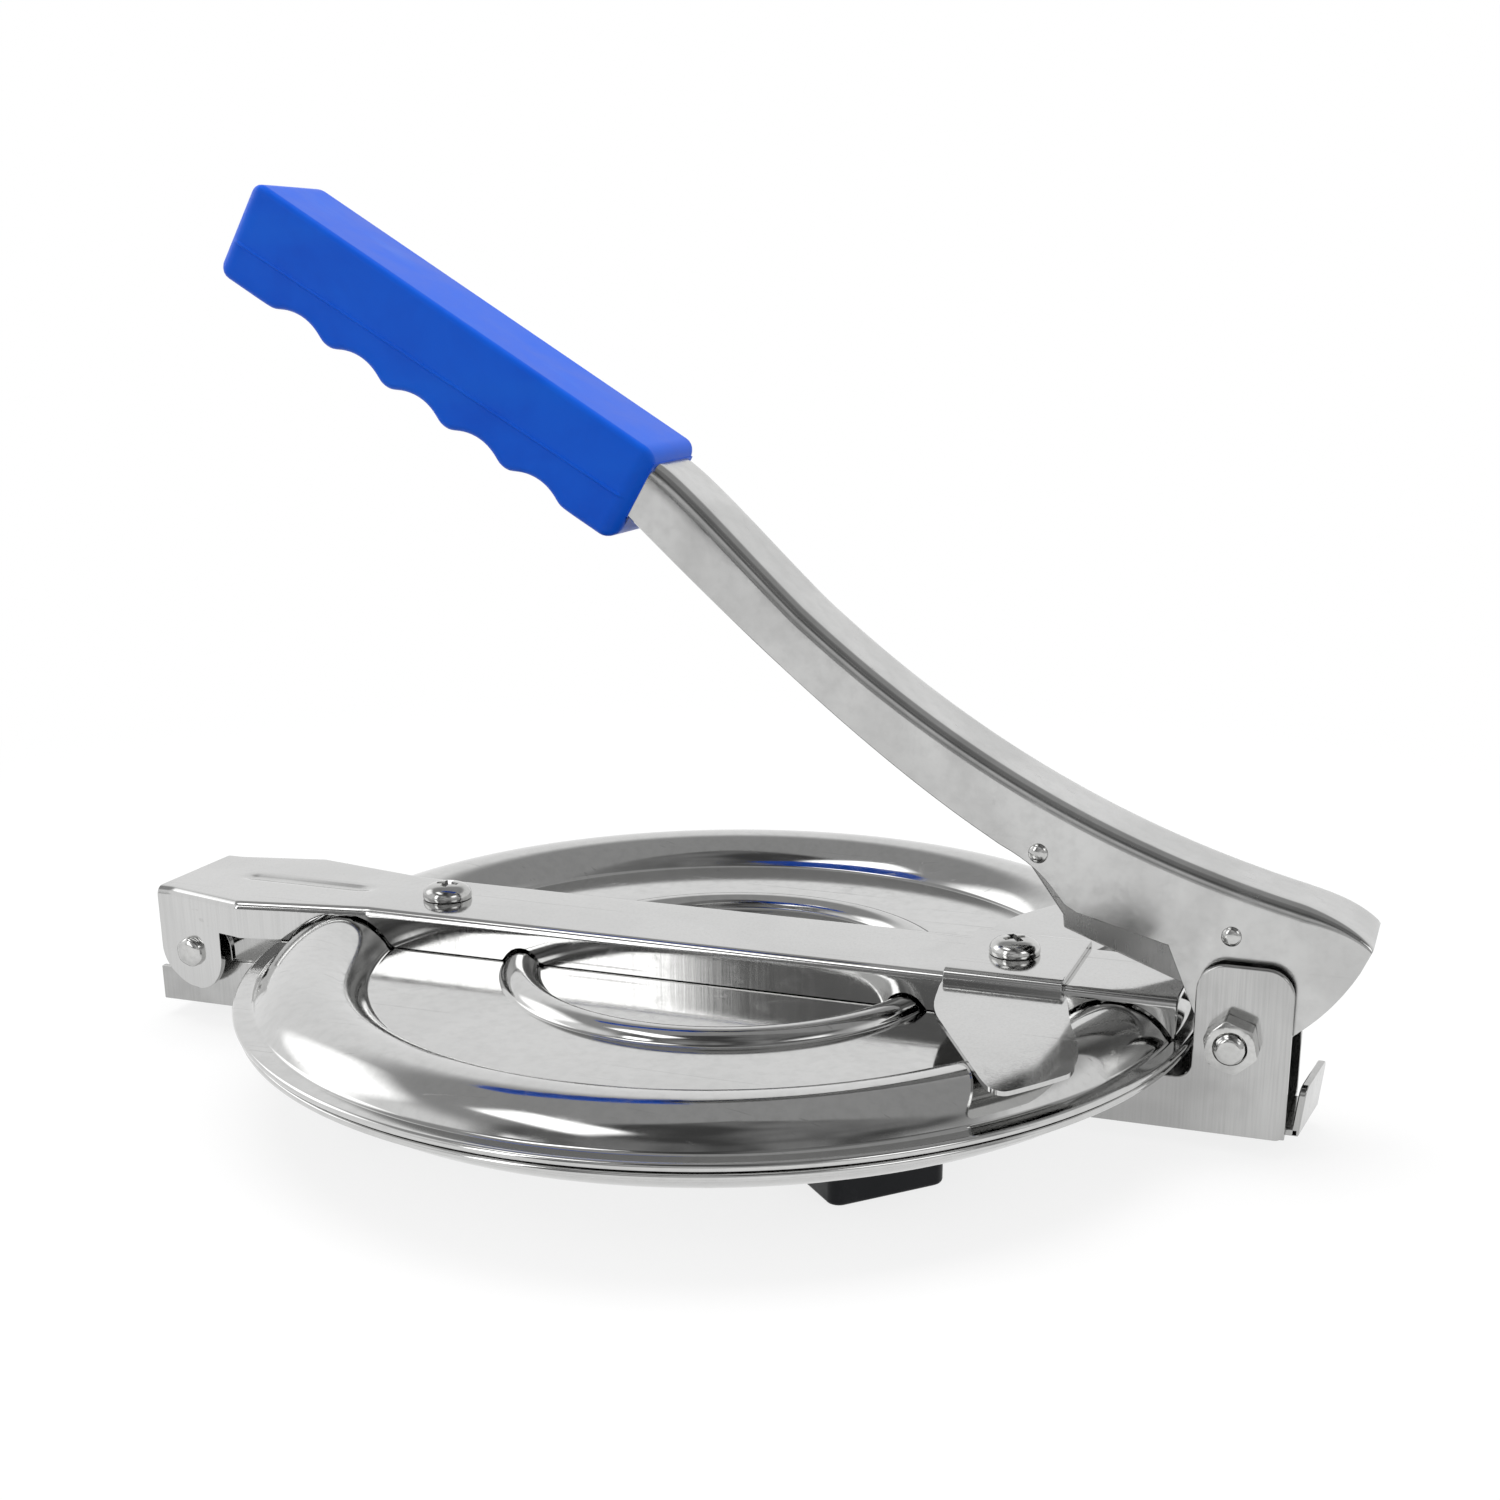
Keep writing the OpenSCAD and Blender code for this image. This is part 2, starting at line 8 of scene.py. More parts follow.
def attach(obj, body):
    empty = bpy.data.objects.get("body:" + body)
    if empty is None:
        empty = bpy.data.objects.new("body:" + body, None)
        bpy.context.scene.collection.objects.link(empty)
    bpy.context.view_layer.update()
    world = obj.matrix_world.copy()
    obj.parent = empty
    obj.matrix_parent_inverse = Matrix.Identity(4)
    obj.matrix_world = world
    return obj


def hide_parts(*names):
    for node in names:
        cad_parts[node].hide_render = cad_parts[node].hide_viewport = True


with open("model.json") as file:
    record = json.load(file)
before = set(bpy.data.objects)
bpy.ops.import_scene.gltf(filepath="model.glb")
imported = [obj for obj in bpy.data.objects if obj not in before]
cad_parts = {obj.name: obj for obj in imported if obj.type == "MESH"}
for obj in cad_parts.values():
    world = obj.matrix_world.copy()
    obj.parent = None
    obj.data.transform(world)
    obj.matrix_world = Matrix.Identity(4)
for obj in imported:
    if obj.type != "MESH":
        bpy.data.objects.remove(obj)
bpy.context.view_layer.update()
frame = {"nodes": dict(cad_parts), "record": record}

MM = 0.001

# Sizes shared with the solids, in millimetres
UPPER_R, LOWER_R = 84.0, 83.4
DISC_TOP, DISC_T, ROLL = 18.8, 0.7, 0.65    # top of the upper flat, sheet, rolled rim
LOWER_SHEET = 15.8                          # lower side of the lower disc's flat
RING = (UPPER_R - 12.4, 9.2, 5.2)           # radius, half width and height of the broad ring
BEAD = (36.8, 3.1, 2.2)                     # the same for the small ring
RING_GAP = 0.45                             # room between a ring and what spans it
ARM_BOTTOM, ARM_TOP, ARM_T, ARM_HALF = 18.9, 25.75, 1.2, 11.0
ARM_TIP = 81.0
HINGE, EAR_R = (-101.8, 14.3), 7.2
PIVOT, HUB_R = (90.3, 19.7), 6.2
LEVER_HALF, LEVER_T = 7.9, 1.2
LEVER_FOLD, HEEL_FOLD = 2.6, 0.8            # radius of its folds, and at the heel
GRIP_SLOPE, GRIP_L = radians(30.4), 81.6
TANG_TOP, TANG_BOTTOM = 6.4, -3.4           # over the grip's axis
BASE_Z, BASE_HALF, BASE_T = 3.2, 10.4, 1.2
SADDLE_LEFT, SADDLE_L = RING[0] - 29.5, 20.2
SCREW_LEFT, SCREW_RIGHT = -(RING[0] - 16), SADDLE_LEFT + 9.3
WING_BOTTOM, WING_TOP = 24.05, 24.8         # plate of the saddle over the broad ring


def from_pivot(x, z):
    return PIVOT[0] + x, PIVOT[1] + z


GRIP_FRONT = from_pivot(-102.6, 80.6)
HEEL = from_pivot(20.6, 16.8)               # the lever's web ends here
FRONT_RIVET, REAR_RIVET = from_pivot(-33.7, 27.3), from_pivot(-1.7, 16.6)


# ---- Materials -------------------------------------------------------------------------

class Nodes:
    """A material with a Principled shader, and short calls that add nodes to it.
    An input is given by its name, or as _2 for the node's socket number 2."""

    def __init__(self, name):
        self.material = bpy.data.materials.new(name)
        self.material.use_nodes = True
        self.tree = self.material.node_tree
        self.tree.nodes.clear()
        self.out = self.tree.nodes.new("ShaderNodeOutputMaterial")
        self.shader = self.tree.nodes.new("ShaderNodeBsdfPrincipled")
        self.link(self.shader.outputs[0], self.out.inputs[0])

    def link(self, a, b):
        self.tree.links.new(a, b)

    def add(self, kind, settings=None, **inputs):
        node = self.tree.nodes.new("ShaderNode" + kind)
        for key, value in (settings or {}).items():
            setattr(node, key, value)
        for key, value in inputs.items():
            socket = node.inputs[int(key[1:]) if key[1:].isdigit() else key.replace("_", " ")]
            if isinstance(value, bpy.types.NodeSocket):
                self.link(value, socket)
            else:
                socket.default_value = value
        return node

    def coords(self, scale=(1, 1, 1), rotation=(0, 0, 0)):
        place = self.add("TexCoord").outputs["Object"]
        return self.add("Mapping", Vector=place, Scale=scale, Rotation=rotation).outputs[0]

    def noise(self, vector, scale=1.0, detail=2.0, rough=0.5, distortion=0.0):
        return self.add("TexNoise", Vector=vector, Scale=scale, Detail=detail,
                        Roughness=rough, Distortion=distortion).outputs[0]

    def spread(self, value, a, b, lo=0.0, hi=1.0):
        """value between a and b becomes lo to hi"""
        return self.add("MapRange", {"interpolation_type": "SMOOTHSTEP"},
                        _0=value, _1=a, _2=b, _3=lo, _4=hi).outputs[0]

    def math(self, operation, a, b=0.0):
        return self.add("Math", {"operation": operation}, _0=a, _1=b).outputs[0]

    def mix(self, factor, a, b):
        return self.add("Mix", {"data_type": "RGBA"}, _0=factor, _6=a, _7=b).outputs[2]

    def bump(self, height, distance, normal=None):
        node = self.add("Bump", Height=height, Distance=distance, Strength=1.0)
        if normal:
            self.link(normal, node.inputs["Normal"])
        return node.outputs[0]

    def finish(self, color=None, rough=None, normal=None, **constants):
        for key, value in constants.items():
            self.shader.inputs[key.replace("_", " ")].default_value = value
        for socket, value in (("Base Color", color), ("Roughness", rough), ("Normal", normal)):
            if value is not None:
                self.link(value, self.shader.inputs[socket])
        return self.material


def steel(name, light, dark, shine, grain, grain_depth=2.2e-6, wave=8e-5, wave_scale=32,
          cloud=0.5, rings=0.0, wear=0.35):
    """Polished stainless sheet: grain, slow waves of the press work, cloudy patches, finger
    smudges and a few fine scratches. shine is the roughness of a clean spot, grain the fineness
    along X, Y and Z, and grain_depth, wave and rings are heights in metres."""
    n = Nodes(name)
    place = n.coords()
    streaks = n.noise(n.coords(grain), 1.0, 3.0, 0.6)
    clouds = n.noise(place, 42, 3.0, 0.55, 0.6)
    smudge = n.spread(n.noise(place, 95, 5.0, 0.62, 1.5), 0.55, 0.75)
    scratch = n.spread(n.noise(n.coords((14, 1500, 700), (0.3, 0.1, 0.7)), 1.0, 1.0), 0.71, 0.76)
    tone = n.mix(n.spread(clouds, 0.35, 0.68, 0.0, cloud), light, dark)
    tone = n.mix(n.spread(streaks, 0.35, 0.75, 0.0, 0.22), tone, dark)
    tone = n.mix(n.math("MULTIPLY", scratch, wear), tone, dark)
    rough = n.math("ADD", shine, n.math("MULTIPLY", smudge, 0.10))
    rough = n.math("ADD", rough, n.math("MULTIPLY", scratch, 0.12))
    rough = n.math("ADD", rough, n.spread(streaks, 0.3, 0.8, 0.0, 0.05))
    normal = n.bump(n.noise(place, wave_scale, 1.5, 0.45), wave)
    if rings:
        flat = n.add("VectorMath", {"operation": "MULTIPLY"}, _0=place, _1=(1, 1, 0)).outputs[0]
        radius = n.add("VectorMath", {"operation": "LENGTH"}, _0=flat).outputs["Value"]
        turned = n.add("CombineXYZ", X=n.math("MULTIPLY", radius, 2200)).outputs[0]
        lathe_marks = n.noise(n.add("VectorMath", _0=turned, _1=n.coords((9, 9, 0))).outputs[0],
                              1.0, 2.0)
        normal = n.bump(lathe_marks, rings, normal)
    normal = n.bump(streaks, grain_depth, normal)
    return n.finish(tone, rough, normal, Metallic=1.0)


STEEL_LIGHT, STEEL_DARK = (0.585, 0.585, 0.58, 1), (0.40, 0.40, 0.395, 1)
UPRIGHT = (2600, 2600, 60)
finishes = {
    "disc_steel": steel("disc_steel", STEEL_LIGHT, STEEL_DARK, 0.07, (500, 500, 500),
                        grain_depth=8e-7, wave=2.5e-5, wave_scale=26, cloud=0.16, rings=8e-7),
    "plate_steel": steel("plate_steel", STEEL_LIGHT, STEEL_DARK, 0.10, (900, 900, 900),
                         wave=1e-5, cloud=0.2, rings=1.2e-6),
    "arm_steel": steel("arm_steel", STEEL_LIGHT, STEEL_DARK, 0.07, UPRIGHT, cloud=0.22,
                       wave=3e-5),
    "lever_steel": steel("lever_steel", STEEL_LIGHT, STEEL_DARK, 0.14, (420, 420, 420),
                         wave=3.0e-4, grain_depth=6e-7, wave_scale=38, cloud=0.55, wear=0.15),
    "shoe_steel": steel("shoe_steel", (0.36, 0.36, 0.355, 1), (0.16, 0.16, 0.16, 1), 0.24,
                        (1500, 1500, 160), grain_depth=8e-6, wave=9e-5, cloud=0.7),
    "base_steel": steel("base_steel", (0.50, 0.50, 0.495, 1), (0.27, 0.27, 0.265, 1), 0.12,
                        UPRIGHT, cloud=0.55, wave=5e-5),
    "fastener_steel": steel("fastener_steel", (0.60, 0.60, 0.59, 1), (0.22, 0.22, 0.22, 1),
                            0.12, (900, 900, 900), wave=2e-5, wave_scale=300, cloud=0.5),
}


def grip_plastic():
    """Injection-moulded blue plastic: slightly mottled colour, flow marks, soft gloss."""
    n = Nodes("grip_plastic")
    place = n.coords()
    mottle = n.noise(place, 55, 4.0, 0.6, 0.4)
    flow = n.noise(n.coords((18, 240, 160), (0, GRIP_SLOPE, 0)), 1.0, 2.0)
    color = n.mix(n.spread(mottle, 0.3, 0.7), (0.0, 0.086, 0.64, 1), (0.0, 0.108, 0.72, 1))
    color = n.mix(n.spread(flow, 0.5, 0.8, 0.0, 0.35), color, (0.002, 0.135, 0.74, 1))
    rough = n.spread(mottle, 0.3, 0.75, 0.30, 0.42)
    normal = n.bump(n.noise(place, 120, 2.0), 4e-5)
    normal = n.bump(n.noise(place, 2600, 2.0), 3e-6, normal)
    return n.finish(color, rough, normal, Specular_IOR_Level=0.17)


def foot_plastic():
    n = Nodes("foot_plastic")
    place = n.coords()
    dust = n.spread(n.noise(place, 260, 4.0, 0.65), 0.55, 0.8)
    color = n.mix(dust, (0.007, 0.008, 0.010, 1), (0.022, 0.023, 0.027, 1))
    rough = n.spread(n.noise(place, 150, 3.0), 0.3, 0.7, 0.36, 0.52)
    return n.finish(color, rough, n.bump(n.noise(place, 2200, 2.0), 8e-6),
                    Specular_IOR_Level=0.2)


finishes["grip_plastic"] = grip_plastic()
finishes["foot_plastic"] = foot_plastic()

for entry in frame["record"]["materials"]:
    for node in frame["nodes"].values():
        for slot in node.material_slots:
            if slot.material and slot.material.name.split(".")[0] == entry["slot"]:
                slot.material = finishes[entry["slot"]]


# ---- Mesh helpers ----------------------------------------------------------------------

def solid(name, shapes):
    """One object from (points, faces) shapes in millimetres"""
    points, faces = [], []
    for shape_points, shape_faces in shapes:
        faces += [[i + len(points) for i in face] for face in shape_faces]
        points += [Vector(p) * MM for p in shape_points]
    mesh = bpy.data.meshes.new(name)
    mesh.from_pydata(points, [], faces)
    mesh.validate()
    obj = bpy.data.objects.new(name, mesh)
    bpy.context.scene.collection.objects.link(obj)
    return obj


def cut(obj, shape):
    """Cuts a shape out of an object that has no modifiers yet"""
    tool = solid("tool", [shape])
    hole = obj.modifiers.new("hole", "BOOLEAN")
    hole.object, hole.operation, hole.solver = tool, "DIFFERENCE", "EXACT"
    depsgraph = bpy.context.evaluated_depsgraph_get()
    obj.data = bpy.data.meshes.new_from_object(obj.evaluated_get(depsgraph))
    obj.modifiers.remove(hole)
    bpy.data.objects.remove(tool)


def piece(name, shapes, body, slot, replaces=(), bevel=0.0, holes=()):
    """A finished piece: its holes, its eased edges, its smooth shading and its body"""
    obj = solid(name, shapes)
    obj.data.materials.append(finishes[slot])
    for hole in holes:
        cut(obj, hole)
    if bevel:
        edges = obj.modifiers.new("edges", "BEVEL")
        edges.width, edges.segments = bevel * MM, 3
        edges.limit_method, edges.angle_limit = "ANGLE", radians(38)
        edges.use_clamp_overlap = True
    mesh = obj.data
    mesh.polygons.foreach_set("use_smooth", [True] * len(mesh.polygons))
    mesh.set_sharp_from_angle(angle=radians(38))
    normals = obj.modifiers.new("normals", "WEIGHTED_NORMAL")
    normals.keep_sharp = True
    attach(obj, body)
    if replaces:
        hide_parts(*replaces)
    return obj


def loft(loops, cyclic=False, caps=True):
    """Faces between closed loops of the same number of points"""
    n = len(loops[0])
    points = [p for loop in loops for p in loop]
    faces = []
    rows = len(loops)
    for i in range(rows if cyclic else rows - 1):
        a, b = i * n, ((i + 1) % rows) * n
        faces += [[a + k, a + (k + 1) % n, b + (k + 1) % n, b + k] for k in range(n)]
    if caps and not cyclic:
        faces += [list(range(n))[::-1], [(rows - 1) * n + k for k in range(n)]]
    return points, faces


def lathe(profile, steps, place=lambda r, a, z: (r * cos(a), r * sin(a), z)):
    """Turns an open profile of (radius, height); ends on the axis close to a point"""
    loops = [[place(r, 2 * pi * k / steps, z) for k in range(steps)]
             for r, z in profile if r > 0]
    points, faces = loft(loops, caps=False)
    for first in (True, False):
        r, z = profile[0 if first else -1]
        base = 0 if first else (len(loops) - 1) * steps
        if r == 0:
            points.append(place(0, 0, z))
            tip = len(points) - 1
            for k in range(steps):
                pair = [base + k, base + (k + 1) % steps]
                faces.append([tip] + (pair[::-1] if first else pair))
    return points, faces


def arc(cx, cy, r, start, end, n):
    return [(cx + r * cos(radians(start + (end - start) * i / n)),
             cy + r * sin(radians(start + (end - start) * i / n))) for i in range(n + 1)]


def cubic(a, b, c, d, n, first=0):
    out = []
    for i in range(first, n + 1):
        t = i / n
        w = ((1 - t) ** 3, 3 * (1 - t) ** 2 * t, 3 * (1 - t) * t * t, t ** 3)
        out.append(tuple(sum(k * p[j] for k, p in zip(w, (a, b, c, d))) for j in (0, 1)))
    return out


def walk_x(x0, x1, n):
    return [x0 + (x1 - x0) * i / n for i in range(n + 1)]


def arc_r(half_w, h):
    return (half_w * half_w + h * h) / (2 * h)


def box(x0, x1, z0, z1):
    return [(x0, z0), (x1, z0), (x1, z1), (x0, z1)]


def prism(outline, y0, y1):
    """An outline in X and Z as a plate from y0 to y1"""
    return loft([[(x, y, z) for x, z in outline] for y in (y0, y1)])


# ---- Discs -----------------------------------------------------------------------------

def ring_points(ring, fillet, t):
    """A pressed ring with filleted feet; t is the depth below the outer skin"""
    rc, half_w, h = ring
    R = arc_r(half_w, h)
    cz = h - R
    dx = sqrt((R + fillet) ** 2 - (fillet - cz) ** 2)
    phi = atan2(dx, fillet - cz)
    left = [(rc - dx + (fillet + t) * sin(phi * i / 7), fillet - (fillet + t) * cos(phi * i / 7))
            for i in range(8)]
    top = [(rc + (R - t) * sin(phi * i / 16), cz + (R - t) * cos(phi * i / 16))
           for i in range(-15, 16)]
    right = [(2 * rc - x, z) for x, z in reversed(left)]
    return left + top + right


def disc_profile(outer):
    """Outline of half a disc's section, from its middle over the top and back underneath"""
    def skin(t):
        return ([(8, -t), (20, -t)] + ring_points(BEAD, 0.9, t) + [(46, -t), (54, -t)]
                + ring_points(RING, 1.1, t))
    roll = arc(outer - ROLL, -ROLL, ROLL, 90, -90, 12)
    top = [(0, 0)] + skin(0) + [(outer - 1.5, 0), (outer - ROLL - 0.3, 0)]
    under = [(outer - 1.9, -2 * ROLL), (outer - 1.9, -DISC_T)] + skin(DISC_T)[::-1] + [(0, -DISC_T)]
    return top + roll + under


def formed_disc(name, outer, z0, up, body):
    """A disc whose flat's outer skin lies at z0; up is 1, or -1 with the rings downwards"""
    profile = [(r, z0 + z * up) for r, z in disc_profile(outer)][::-up]
    piece(name + "_skin", [lathe(profile, 240)], body, "disc_steel", [name])


formed_disc("upper_disc", UPPER_R, DISC_TOP, 1, "arm")
formed_disc("lower_disc", LOWER_R, LOWER_SHEET, -1, "base")


# ---- Bent sheet channels ---------------------------------------------------------------

def channel_loop(top, down, foot, half, t, fold, groove=None, shrink=0.0):
    """Closed U section: a web across the top, two folds and two cheeks down to foot.
    top and foot are (x, z), down the direction of the cheeks at the fold."""
    edge_cut = 0.18
    w = half - shrink
    tx, tz = top[0] + down[0] * shrink, top[1] + down[1] * shrink

    def at(s, y):
        return (tx + down[0] * s, y, tz + down[1] * s)

    f0 = at(fold, 0)
    length = hypot(foot[0] - f0[0], foot[1] - f0[2]) or 1
    dx, dz = (foot[0] - f0[0]) / length, (foot[1] - f0[2]) / length
    lower = length - shrink

    def cheek(q, y):
        return (f0[0] + dx * q, y, f0[2] + dz * q)

    cuts = [i / 5 for i in range(5)]
    half_web = [0.08, 0.14, 0.2, 0.26, 0.34, 0.45, 0.6, 0.8]
    web = [-k for k in reversed(half_web)] + [0] + half_web
    inner = max(fold - t, 0.3)
    ti = t - 2 * shrink

    def skin(y_out, depth, r):
        """One face of the sheet: up a cheek, round the fold, across the web and down again"""
        side = [cheek((lower - edge_cut) * (1 - c), -y_out) for c in cuts]
        corner = [at(depth + r - r * sin(a), -(y_out - r + r * cos(a)))
                  for a in [pi / 2 * i / 6 for i in range(7)]]
        flat = []
        for k in web:
            y = k * (y_out - r)
            flat.append(at(depth + (groove(y) if groove else 0), y))
        half_loop = side + corner
        return half_loop + flat + [(x, -y, z) for x, y, z in reversed(half_loop)]

    outer_skin = skin(w, 0, fold)
    inner_skin = skin(w - ti, ti, inner)
    edge_l = [cheek(lower, -(w - edge_cut)), cheek(lower, -(w - ti + edge_cut))]
    edge_r = [(x, -y, z) for x, y, z in edge_l]
    return outer_skin + edge_r + inner_skin[::-1] + edge_l[::-1]


def channel(stations):
    """stations: (top, down, foot, half, t, fold, groove). The ends get a small chamfer."""
    c = 0.15
    first, last = (channel_loop(*stations[i], shrink=c) for i in (0, -1))
    loops = [first] + [channel_loop(*s) for s in stations] + [last]
    for end, inner_loop, nxt in ((0, 1, 2), (-1, -2, -3)):
        push = Vector(loops[inner_loop][0]) - Vector(loops[nxt][0])
        push = push.normalized() * c
        loops[inner_loop] = [tuple(Vector(p) - push) for p in loops[inner_loop]]
    return loft(loops)


# ---- Arm -------------------------------------------------------------------------------
EAR_HALF, WIDE_HALF = 11.8, 15.5            # half width at the ears and where the arm is widest
FLARE_X, WIDE_X, NARROW_X = -106.0, -90.0, -66.0
GROOVE_DEPTH, GROOVE_HALF = 0.55, 1.35      # the groove along the middle of the arm's left end


def arm_half(x):
    """Half width of the arm: it flares from the hinge, then narrows to the discs"""
    if x < WIDE_X:
        return EAR_HALF + (WIDE_HALF - EAR_HALF) * max(0.0, (x - FLARE_X) / (WIDE_X - FLARE_X))
    if x < NARROW_X:
        return WIDE_HALF + (ARM_HALF - WIDE_HALF) * (x - WIDE_X) / (NARROW_X - WIDE_X)
    return ARM_HALF


def over_ring(x, ring, wall_y):
    """Height above the disc's flat of the room over a ring, in a wall at y; 0 outside it"""
    R = arc_r(ring[1], ring[2])
    d = abs(x) - sqrt(ring[0] ** 2 - wall_y ** 2)
    r = R + RING_GAP
    return ring[2] - R + sqrt(r * r - d * d) if abs(d) < r else 0


def arm_foot(x):
    d = x - HINGE[0]
    if d <= EAR_R:
        return HINGE[1] - sqrt(max(EAR_R ** 2 - d * d, 0))
    room = max(over_ring(x, ring, ARM_HALF - ARM_T / 2) for ring in (RING, BEAD))
    return max(ARM_BOTTOM, DISC_TOP + room)


def arm_stations():
    """Sections close together round the ears, then at even steps"""
    left, first, step = HINGE[0] - EAR_R, -94, 0.9
    xs = {round(left + EAR_R * (1 - cos(pi * i / 24)), 4) for i in range(25)}
    xs |= {HINGE[0] + EAR_R + 0.02, WIDE_X, NARROW_X, ARM_TIP}
    xs |= {round(first + step * i, 4) for i in range(int((ARM_TIP - first) / step) + 1)}
    out = []
    for x in sorted(xs):
        along = max(0.0, min(1.0, (x + 98.5) / 2.5)) * max(0.0, min(1.0, (-70 - x) / 4.0))
        depth = GROOVE_DEPTH * along * along * (3 - 2 * along)

        def groove(y, depth=depth):
            return depth * exp(-((y / GROOVE_HALF) ** 2) ** 1.5)
        out.append(((x, ARM_TOP), (0, -1), (x, arm_foot(x)), arm_half(x), ARM_T, 1.5, groove))
    return out


def stadium(cx, cz, length, height, n=8):
    r = height / 2
    return (arc(cx + length / 2 - r, cz, r, -90, 90, n)
            + arc(cx - length / 2 + r, cz, r, 90, 270, n))


# The slot beside the hinge. Its cut turns the sheet's faces outwards, but leaves no opening.
slot = prism(stadium(HINGE[0] + 11.4, ARM_BOTTOM + 1.9, 5, 2.6), -30, 30)
piece("top_arm_sheet", [channel(arm_stations())], "arm", "arm_steel", ["top_arm"], holes=[slot])


# ---- Saddle: a clip over the arm, whose sides turn out into a plate over the broad ring --

def rounded(points, radii, n=5):
    """An outline with its corners rounded, each over its own length"""
    out = []
    for i, (p, r) in enumerate(zip(points, radii)):
        a, b = Vector(points[i - 1]), Vector(points[(i + 1) % len(points)])
        p = Vector(p)
        start = p + (a - p).normalized() * min(r, (a - p).length * 0.45)
        end = p + (b - p).normalized() * min(r, (b - p).length * 0.45)
        for k in range(n + 1 if r else 1):
            t = k / n
            out.append(tuple(start * (1 - t) ** 2 + p * 2 * t * (1 - t) + end * t * t))
    return out


def wing_plate(side):
    """One half of the saddle's plate; its outer edge follows the disc's rim"""
    inner, saddle_right = ARM_HALF + 0.1, SADDLE_LEFT + SADDLE_L
    rim = arc(0, 0, UPPER_R, -41, -32, 5)
    outline = ([(SADDLE_LEFT, -inner), (SADDLE_LEFT, -13.5), (44, -25), (60.6, -54)]
               + rim + [(70.1, -34.2), (66.5, -24.7), (saddle_right + 1.2, -13.5),
                        (saddle_right, -inner)])
    radii = [0, 1.5, 5, 4, 2] + [0.0] * 4 + [3.5, 4, 4, 1.5, 0]
    plan = rounded(outline, radii)
    loops = [[(x, side * -y, z) for x, y in plan] for z in (WING_BOTTOM, WING_TOP)]
    return loft(loops if side < 0 else [loop[::-1] for loop in loops])


saddle = [((x, ARM_TOP + ARM_T), (0, -1), (x, WING_BOTTOM + 0.2), ARM_HALF + ARM_T, ARM_T, 1.6,
           None) for x in walk_x(SADDLE_LEFT, SADDLE_LEFT + SADDLE_L, 10)]
piece("arm_saddle_clip", [channel(saddle), wing_plate(-1), wing_plate(1)], "arm", "arm_steel",
      ["arm_saddle"], bevel=0.2)


# ---- Lever -----------------------------------------------------------------------------

def on_grip(along, above):
    """A point at a distance along the grip's axis from its front end, and above the axis"""
    c, s = cos(GRIP_SLOPE), sin(GRIP_SLOPE)
    return (GRIP_FRONT[0] + along * c + above * s, GRIP_FRONT[1] - along * s + above * c)


def walk(points, n):
    """n + 1 points evenly spaced along a line"""
    steps = [hypot(b[0] - a[0], b[1] - a[1]) for a, b in zip(points, points[1:])]
    total, out, i, done = sum(steps), [], 0, 0.0
    for k in range(n + 1):
        goal = total * k / n
        while i < len(steps) - 1 and done + steps[i] < goal:
            done += steps[i]
            i += 1
        t = min(1.0, (goal - done) / steps[i]) if steps[i] else 0
        out.append(tuple(points[i][j] + (points[i + 1][j] - points[i][j]) * t for j in (0, 1)))
    return out


# Its side outline: the back, the belly, the hub round the bolt and the edge of the open heel
CHEEK_FRONT, HUB_FRONT, HUB_BACK = 66, 84, 104.5    # where on the back the lower edge changes
TURN_FROM = 100                                     # where the sections begin to turn
back = (cubic(on_grip(0, TANG_TOP), (-4.1, 102.9), (6.8, 91.8), (15.8, 83.8), 24)
        + cubic((15.8, 83.8), (41.1, 62.9), (68.2, 49.4), (99, 42.3), 60, 1)
        + cubic((99, 42.3), (103.6, 41.1), (108, 39.4), HEEL, 14, 1))
belly = (cubic(on_grip(0, TANG_BOTTOM), (6, 79.2), (28, 60.7), (48, 49.1), 40)
         + cubic((50, 47.9), (55, 45.5), (57.5, 43.7), (61.2, 38.7), 8))
hub = arc(PIVOT[0], PIVOT[1], HUB_R, 170, 340, 20)
heel_edge = cubic((99.8, 20.9), (105.4, 25.4), (109.0, 31.2), HEEL, 20)[:16]


def x_cut(points, x):
    """Index of the first point past x"""
    return next(i for i, p in enumerate(points) if p[0] >= x)


def lever_stations():
    """Each section goes from a point on the back to its foot on one of the lower edges"""
    pairs = []
    cuts = [0] + [x_cut(back, x) for x in (CHEEK_FRONT, HUB_FRONT, HUB_BACK)] + [len(back) - 1]
    lower_edges = ((belly, 90), ([(62, 37.9), (78.5, 33.7)], 14), (hub, 30), (heel_edge, 14))
    for i, j, (low, n) in zip(cuts, cuts[1:], lower_edges):
        tops, feet = walk(back[i:j + 1], n), walk(low, n)
        pairs += list(zip(tops, feet))[(1 if pairs and low is not hub else 0):]
    out = []
    for k, (top, foot) in enumerate(pairs):
        a, b = pairs[max(k - 1, 0)][0], pairs[min(k + 1, len(pairs) - 1)][0]
        length = hypot(b[0] - a[0], b[1] - a[1])
        down = Vector(((b[1] - a[1]) / length, -(b[0] - a[0]) / length))
        # towards the heel the section turns into the plane of the open end
        turn = max(0.0, min(1.0, (top[0] - TURN_FROM) / (HEEL[0] - TURN_FROM)))
        end = (Vector(heel_edge[-1]) - Vector(HEEL)).normalized()
        down = (down * (1 - turn) + end * turn).normalized()
        fold = LEVER_FOLD + (HEEL_FOLD - LEVER_FOLD) * turn
        out.append((top, tuple(down), foot, LEVER_HALF, LEVER_T, fold, None))
    tang_down = (-sin(GRIP_SLOPE), -cos(GRIP_SLOPE))
    tang = [(on_grip(u, TANG_TOP), tang_down, on_grip(u, TANG_BOTTOM), LEVER_HALF, LEVER_T,
             LEVER_FOLD, None) for u in (-14, -10, -6, -3)]
    return tang + out


piece("lever_channel_sheet", [channel(lever_stations())], "lever", "lever_steel",
      ["lever_channel"])

